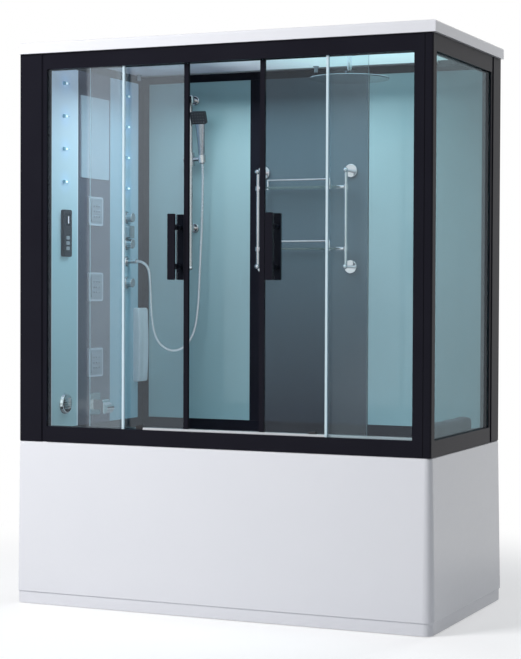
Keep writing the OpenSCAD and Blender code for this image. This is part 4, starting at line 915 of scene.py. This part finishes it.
def jetPlate(name, tint, rim):
    # with a paler moulded rim
    p = Paint(name)
    y, z, step = p.axis("Y"), p.axis("Z"), jetPlates["step"]
    up = abs(((z - jetPlates["low"]) / step + 0.5).one("FRACT") - 0.5) * step
    edge = up.join("MAXIMUM", abs(y - jetPlates["middle"])).within(*jetPlates["rim"])
    speck, cloud = p.noise(0.0008), p.noise(0.05)
    return p.finishSolid({
        "Base Color": p.blend(edge * 0.8 + cloud * 0.15, tint, rim), "Roughness": 0.2 + speck * 0.1,
        "Specular IOR Level": 0.4, "Normal": p.bump(speck, 0.00008)})


# the control unit's front

controlFace = {
    "middle": (-0.269, 1.5135),    # of the screen, along the wall and up
    "screen": (0.0195, 0.0235),    # half its width and height
    "screenSoft": 0.001,
    "barMiddle": -0.263,           # of the lit bar, along the wall
    "bar": (0.0045, 0.017),        # half its width and height
    "barLit": (0.5, 0.7),          # shares of these that are fully lit
    "front": -0.7285,              # only what stands out further than this along x is lit
}


def controlUnit(name, body, screen, light):
    # dark moulded unit with a smoked screen and one lit bar on it
    p = Paint(name)
    x, y, z, face = p.axis("X"), p.axis("Y"), p.axis("Z"), controlFace
    side, up, barSide = abs(y - face["middle"][0]), abs(z - face["middle"][1]), abs(y - face["barMiddle"])
    (wide, high), soft = face["screen"], face["screenSoft"]
    glass = side.within(wide, wide - soft) * up.within(high, high - soft)
    (wide, high), (litWide, litHigh) = face["bar"], face["barLit"]
    bar = barSide.within(wide, wide * litWide) * up.within(high, high * litHigh) * (x > face["front"])
    speck, cloud = p.noise(0.0009), p.noise(0.04)
    return p.finishSolid({
        "Base Color": p.blend(glass, p.blend(cloud * 0.5, body, shaded(body, 0.8)), screen),
        "Roughness": 0.28 + speck * 0.1 - glass * 0.18, "Specular IOR Level": 0.35,
        "Emission Color": p.blend(bar, (0, 0, 0), light), "Emission Strength": 1.0,
        "Normal": p.bump(speck, 0.00006)})


stripEdge = (-0.3950, -0.3960)    # between these places along y the dark guides give way to the pale strip


def guideNylon(name, strip, block):
    # dark guide blocks and stops on a pale threshold strip
    p = Paint(name)
    grain, rub = p.noise(0.0008), p.noise(0.03, 3)
    pale = p.blend(rub * 0.5, strip, shaded(strip, 0.9))
    return p.finishSolid({
        "Base Color": p.blend(p.axis("Y").within(*stripEdge), block, pale),
        "Roughness": 0.32 + grain * 0.1 + rub * 0.06, "Normal": p.bump(grain, 0.00008)})


sheetWhite, sheetShade = (0.86, 0.86, 0.90), (0.80, 0.81, 0.86)
# the panes' pale edge colour includes a painted highlight
paneTint, paneEdge = (0.945, 0.985, 0.99), (0.62, 0.82, 0.88)

finishes = {    # how each finish is made, and from what
    "white acrylic": (acrylic, sheetWhite, sheetShade),
    "roof acrylic": (acrylic, sheetWhite, sheetShade, True),
    "black frame": (coatedAluminium, (0.0055, 0.005, 0.010), (0.010, 0.010, 0.016)),
    "front panes": (clearGlass, paneTint, paneEdge, 0.012, "Y", 0.45),
    # the last values of these two panes place their band of painted reflection
    "fixed panes": (clearGlass, paneTint, paneEdge, 0.035, "Y", 0.45, (-0.5615, -0.418, 0.05, 0.09)),
    "left door pane": (clearGlass, paneTint, paneEdge, 0.012, "Y", 0.45, (-0.44, -0.10, 0.02, 0.062)),
    "side pane": (clearGlass, (0.71, 0.78, 0.78), (0.10, 0.16, 0.18), 0.01, "X", 0.2),
    "shelf glass": (clearGlass, (0.95, 0.985, 0.98), (0.07, 0.10, 0.105), 0.01, "Z", 0.4),
    "clear seal": (plastic, (0.66, 0.82, 0.90), 0.25),
    "white nylon": (plastic, (0.80, 0.81, 0.84), 0.35),
    "guide nylon": (guideNylon, (0.80, 0.82, 0.86), (0.02, 0.02, 0.024)),
    "chrome": (chrome, (0.86, 0.88, 0.92), 0.05),
    "deep chrome": (chrome, (0.98, 0.98, 1.0), 0.04, 1.0),
    "pale chrome": (chrome, (0.95, 0.97, 1.0), 0.12, 0.1),
    "shelf chrome": (chrome, (1.0, 0.96, 1.0), 0.07, 0.75),
    "mirror steel": (chrome, (0.50, 0.56, 0.62), 0.10, 1.1),
    "satin silver": (chrome, (0.44, 0.46, 0.50), 0.16),
    "brushed steel": (brushed, (0.62, 0.64, 0.67), (18, 18, 1)),
    "hose steel": (brushed, (0.78, 0.80, 0.84), (8, 8, 8), 0.2),
    "dull steel": (brushed, (0.42, 0.43, 0.45), (4, 4, 4), 0.4),
    "painted tube": (plastic, (0.42, 0.44, 0.47), 0.38, 0.002, 0.0002),
    "black plastic": (plastic, (0.016, 0.016, 0.02), 0.14),
    "jet plate": (jetPlate, (0.24, 0.27, 0.33), (0.50, 0.53, 0.62)),
    "control unit": (controlUnit, (0.050, 0.048, 0.062), (0.012, 0.012, 0.022), (0.86, 0.88, 1.0)),
    "grey rubber": (plastic, (0.10, 0.10, 0.11), 0.6),
    "grey keys": (plastic, (0.42, 0.45, 0.50), 0.4),
    "soft grey foam": (plastic, (0.10, 0.10, 0.125), 0.55, 0.0016, 0.0003),
    "moulded pad": (plastic, (0.66, 0.72, 0.78), 0.3, 0.002, 0.0002),
    # the run of these stops up each panel is painted light, shade and reflection
    "lit cyan glass": (litGlass, [(0.0, (0.29, 0.43, 0.47)), (0.5, (0.38, 0.55, 0.62)),
                                  (1.0, (0.76, 0.85, 1.0))], 0.22),
    "mauve glass": (backGlass, [(0.0, (0.075, 0.076, 0.105)), (1.0, (0.105, 0.10, 0.145))], 0.05),
    "frosted cyan glass": (backGlass, [(0.0, (0.23, 0.37, 0.41)), (0.35, (0.245, 0.36, 0.40)),
                                       (0.8, (0.237, 0.345, 0.375)), (1.0, (0.20, 0.33, 0.365))], 0.12),
    "slate glass": (backGlass, [(0.0, (0.022, 0.028, 0.042)), (0.5, (0.074, 0.102, 0.127)),
                                (1.0, (0.062, 0.088, 0.108))], 0.06, 0.1, 0.03),
    "mirror glass": (silveredGlass, (0.47, 0.56, 0.66), (0.38, 0.47, 0.58)),
    "spot lens": (litLens, (0.20, 0.24, 0.28), 0.03),
    "wedge lamp": (wedgeLamp,),
}
materials = {name: make(name, *values) for name, (make, *values) in finishes.items()}

wornBy = {    # the nodes that wear each finish
    "white acrylic": ["bathtub", "apron"],
    "roof acrylic": ["roof_canopy"],
    "black frame": ["wall_posts", "corner_post", "front_head_rail", "front_sill_rail", "side_rails",
                    "equipment_frame", "rear_frame", "left_door_edge", "right_door_edge", "left_door_handle",
                    "right_door_handle"],
    "front panes": ["right_door_glass"],
    "left door pane": ["left_door_glass"],
    "fixed panes": ["fixed_glass"],
    "side pane": ["side_glass"],
    "shelf glass": ["glass_shelves"],
    "clear seal": ["glass_seals"],
    "guide nylon": ["door_guides"],
    "white nylon": ["left_roller_outer", "left_roller_inner", "right_roller_inner", "right_roller_outer"],
    "chrome": ["waste_and_overflow", "waste_plug", "overflow_knob"],
    "shelf chrome": ["shelf_rails"],
    "pale chrome": ["rain_shower_arm"],
    "deep chrome": ["wall_outlets", "shower_valve", "diverter_knob", "mixer_knob", "flow_knob", "riser_rail",
                    "shower_holder"],
    "mirror steel": ["rain_shower_head"],
    "satin silver": ["hand_shower"],
    "brushed steel": ["left_door_hangers", "right_door_hangers", "steam_generator"],
    "hose steel": ["shower_hose"],
    "dull steel": ["levelling_feet"],
    "painted tube": ["support_frame"],
    "black plastic": ["ceiling_fan"],
    "control unit": ["control_panel"],
    "jet plate": ["back_jets"],
    "grey keys": ["power_key", "steam_key", "light_key"],
    "soft grey foam": ["headrest"],
    "moulded pad": ["massage_pad"],
    "lit cyan glass": ["lit_panels"],
    "mauve glass": ["dark_panel"],
    "frosted cyan glass": ["rear_glass"],
    "slate glass": ["slate_panel"],
    "mirror glass": ["wall_mirror"],
    "spot lens": ["ceiling_lights"],
    "wedge lamp": ["light_wedges"],
}
newPieces = {
    steelHose: "hose steel",
    bathShell: "white acrylic",
    headCushion: "soft grey foam",
    showerHandle: "satin silver",
    sprayPlate: "black plastic",
    sprayNozzles: "grey rubber",
    backRestPad: "moulded pad",
}


def wear(piece, material):
    piece.data.materials.clear()
    piece.data.materials.append(material)


for name, worn in wornBy.items():
    for node in worn:
        wear(cadNodes[node], materials[name])
for piece, name in newPieces.items():
    wear(piece, materials[name])
bare = set(cadNodes) - {node for worn in wornBy.values() for node in worn}
print("materials on", len(cadNodes) - len(bare), "nodes; left:", sorted(bare))


# floor, sky and lamps

studio = {
    "floor": (0.66, 0.66, 0.67),
    "floorSize": 60,
    "floorDrop": 0.001,  # just under the feet
    "lift": 0.42,        # plain white that the camera adds to the floor beside the cabin
    "fade": (1.1, 2.6),  # distance from the middle where the floor turns into plain white
    "sky": 0.25,
    "skyTint": (0.88, 0.94, 1.0),
    "lamps": [           # name, place, aim, length, width, watts, tint
        ("key", (-3.2, -4.6, 4.2), (0, 0, 1.0), 2.4, 2.4, 315, (1, 1, 1)),
        ("rear", (1.5, 5.5, 3.4), (0, 0, 1.2), 2.4, 2.4, 110, (1, 1, 1)),
        ("inside", (0, 0, 2.04), (0, 0, 0), 1.1, 0.45, 9, (0.80, 0.97, 1.0)),   # the cabin's own light
    ],
}


def addFloor(s):
    bpy.ops.mesh.primitive_plane_add(size=s["floorSize"], location=(0, 0, -s["floorDrop"]))
    floor = bpy.context.object
    floor.name = "floor"
    bpy.ops.object.transform_apply(location=True, rotation=True, scale=True)
    p = Paint("pale floor")
    x, y, dust = p.axis("X"), p.axis("Y"), p.noise(0.02, 4)
    matte = p.solid({"Base Color": p.blend(dust, s["floor"], shaded(s["floor"], 0.985)),
                     "Roughness": 0.7 + dust * 0.1, "Specular IOR Level": 0.1})
    lift = p.node("Emission", {}, {"Color": (1, 1, 1), "Strength": s["lift"]})
    white = p.node("Emission", {}, {"Color": (1, 1, 1), "Strength": 1.0})
    lifted = p.node("AddShader", {}, {0: matte, 1: lift})
    far = (x * x + y * y).one("SQRT").within(*s["fade"])
    shown = p.node("MixShader", {}, {0: far, 1: lifted, 2: white})
    wear(floor, p.finish(p.node("MixShader", {}, {0: p.seen(), 1: matte, 2: shown})))


def addSky(s):
    # plain white where the camera sees it, and dimmer where it lights the cabin
    world = bpy.data.worlds.new("studio")
    bpy.context.scene.world = world
    w = Nodes(world)
    seen = w.seen()
    sky = w.node("Background", {}, {
        "Color": w.blend(seen, s["skyTint"], (1, 1, 1)), "Strength": seen * (1 - s["sky"]) + s["sky"]})
    w.node("OutputWorld", {}, {"Surface": sky})


def addLamp(name, place, aim, length, width, watts, tint):
    lamp = bpy.data.lights.new(name, "AREA")
    lamp.shape, lamp.size, lamp.size_y, lamp.energy, lamp.color = "RECTANGLE", length, width, watts, tint
    stand = bpy.data.objects.new(name, lamp)
    bpy.context.scene.collection.objects.link(stand)
    stand.location = place
    stand.rotation_mode = "QUATERNION"
    stand.rotation_quaternion = (Vector(aim) - Vector(place)).to_track_quat("-Z", "Y")
    stand.visible_glossy = False
    stand.visible_camera = False


addFloor(studio)
addSky(studio)
for lampValues in studio["lamps"]:
    addLamp(*lampValues)
scene = bpy.context.scene
scene.view_settings.view_transform = "Standard"
scene.cycles.transparent_max_bounces = 24     # enough for all the panes that can lie behind each other
print("studio ready")
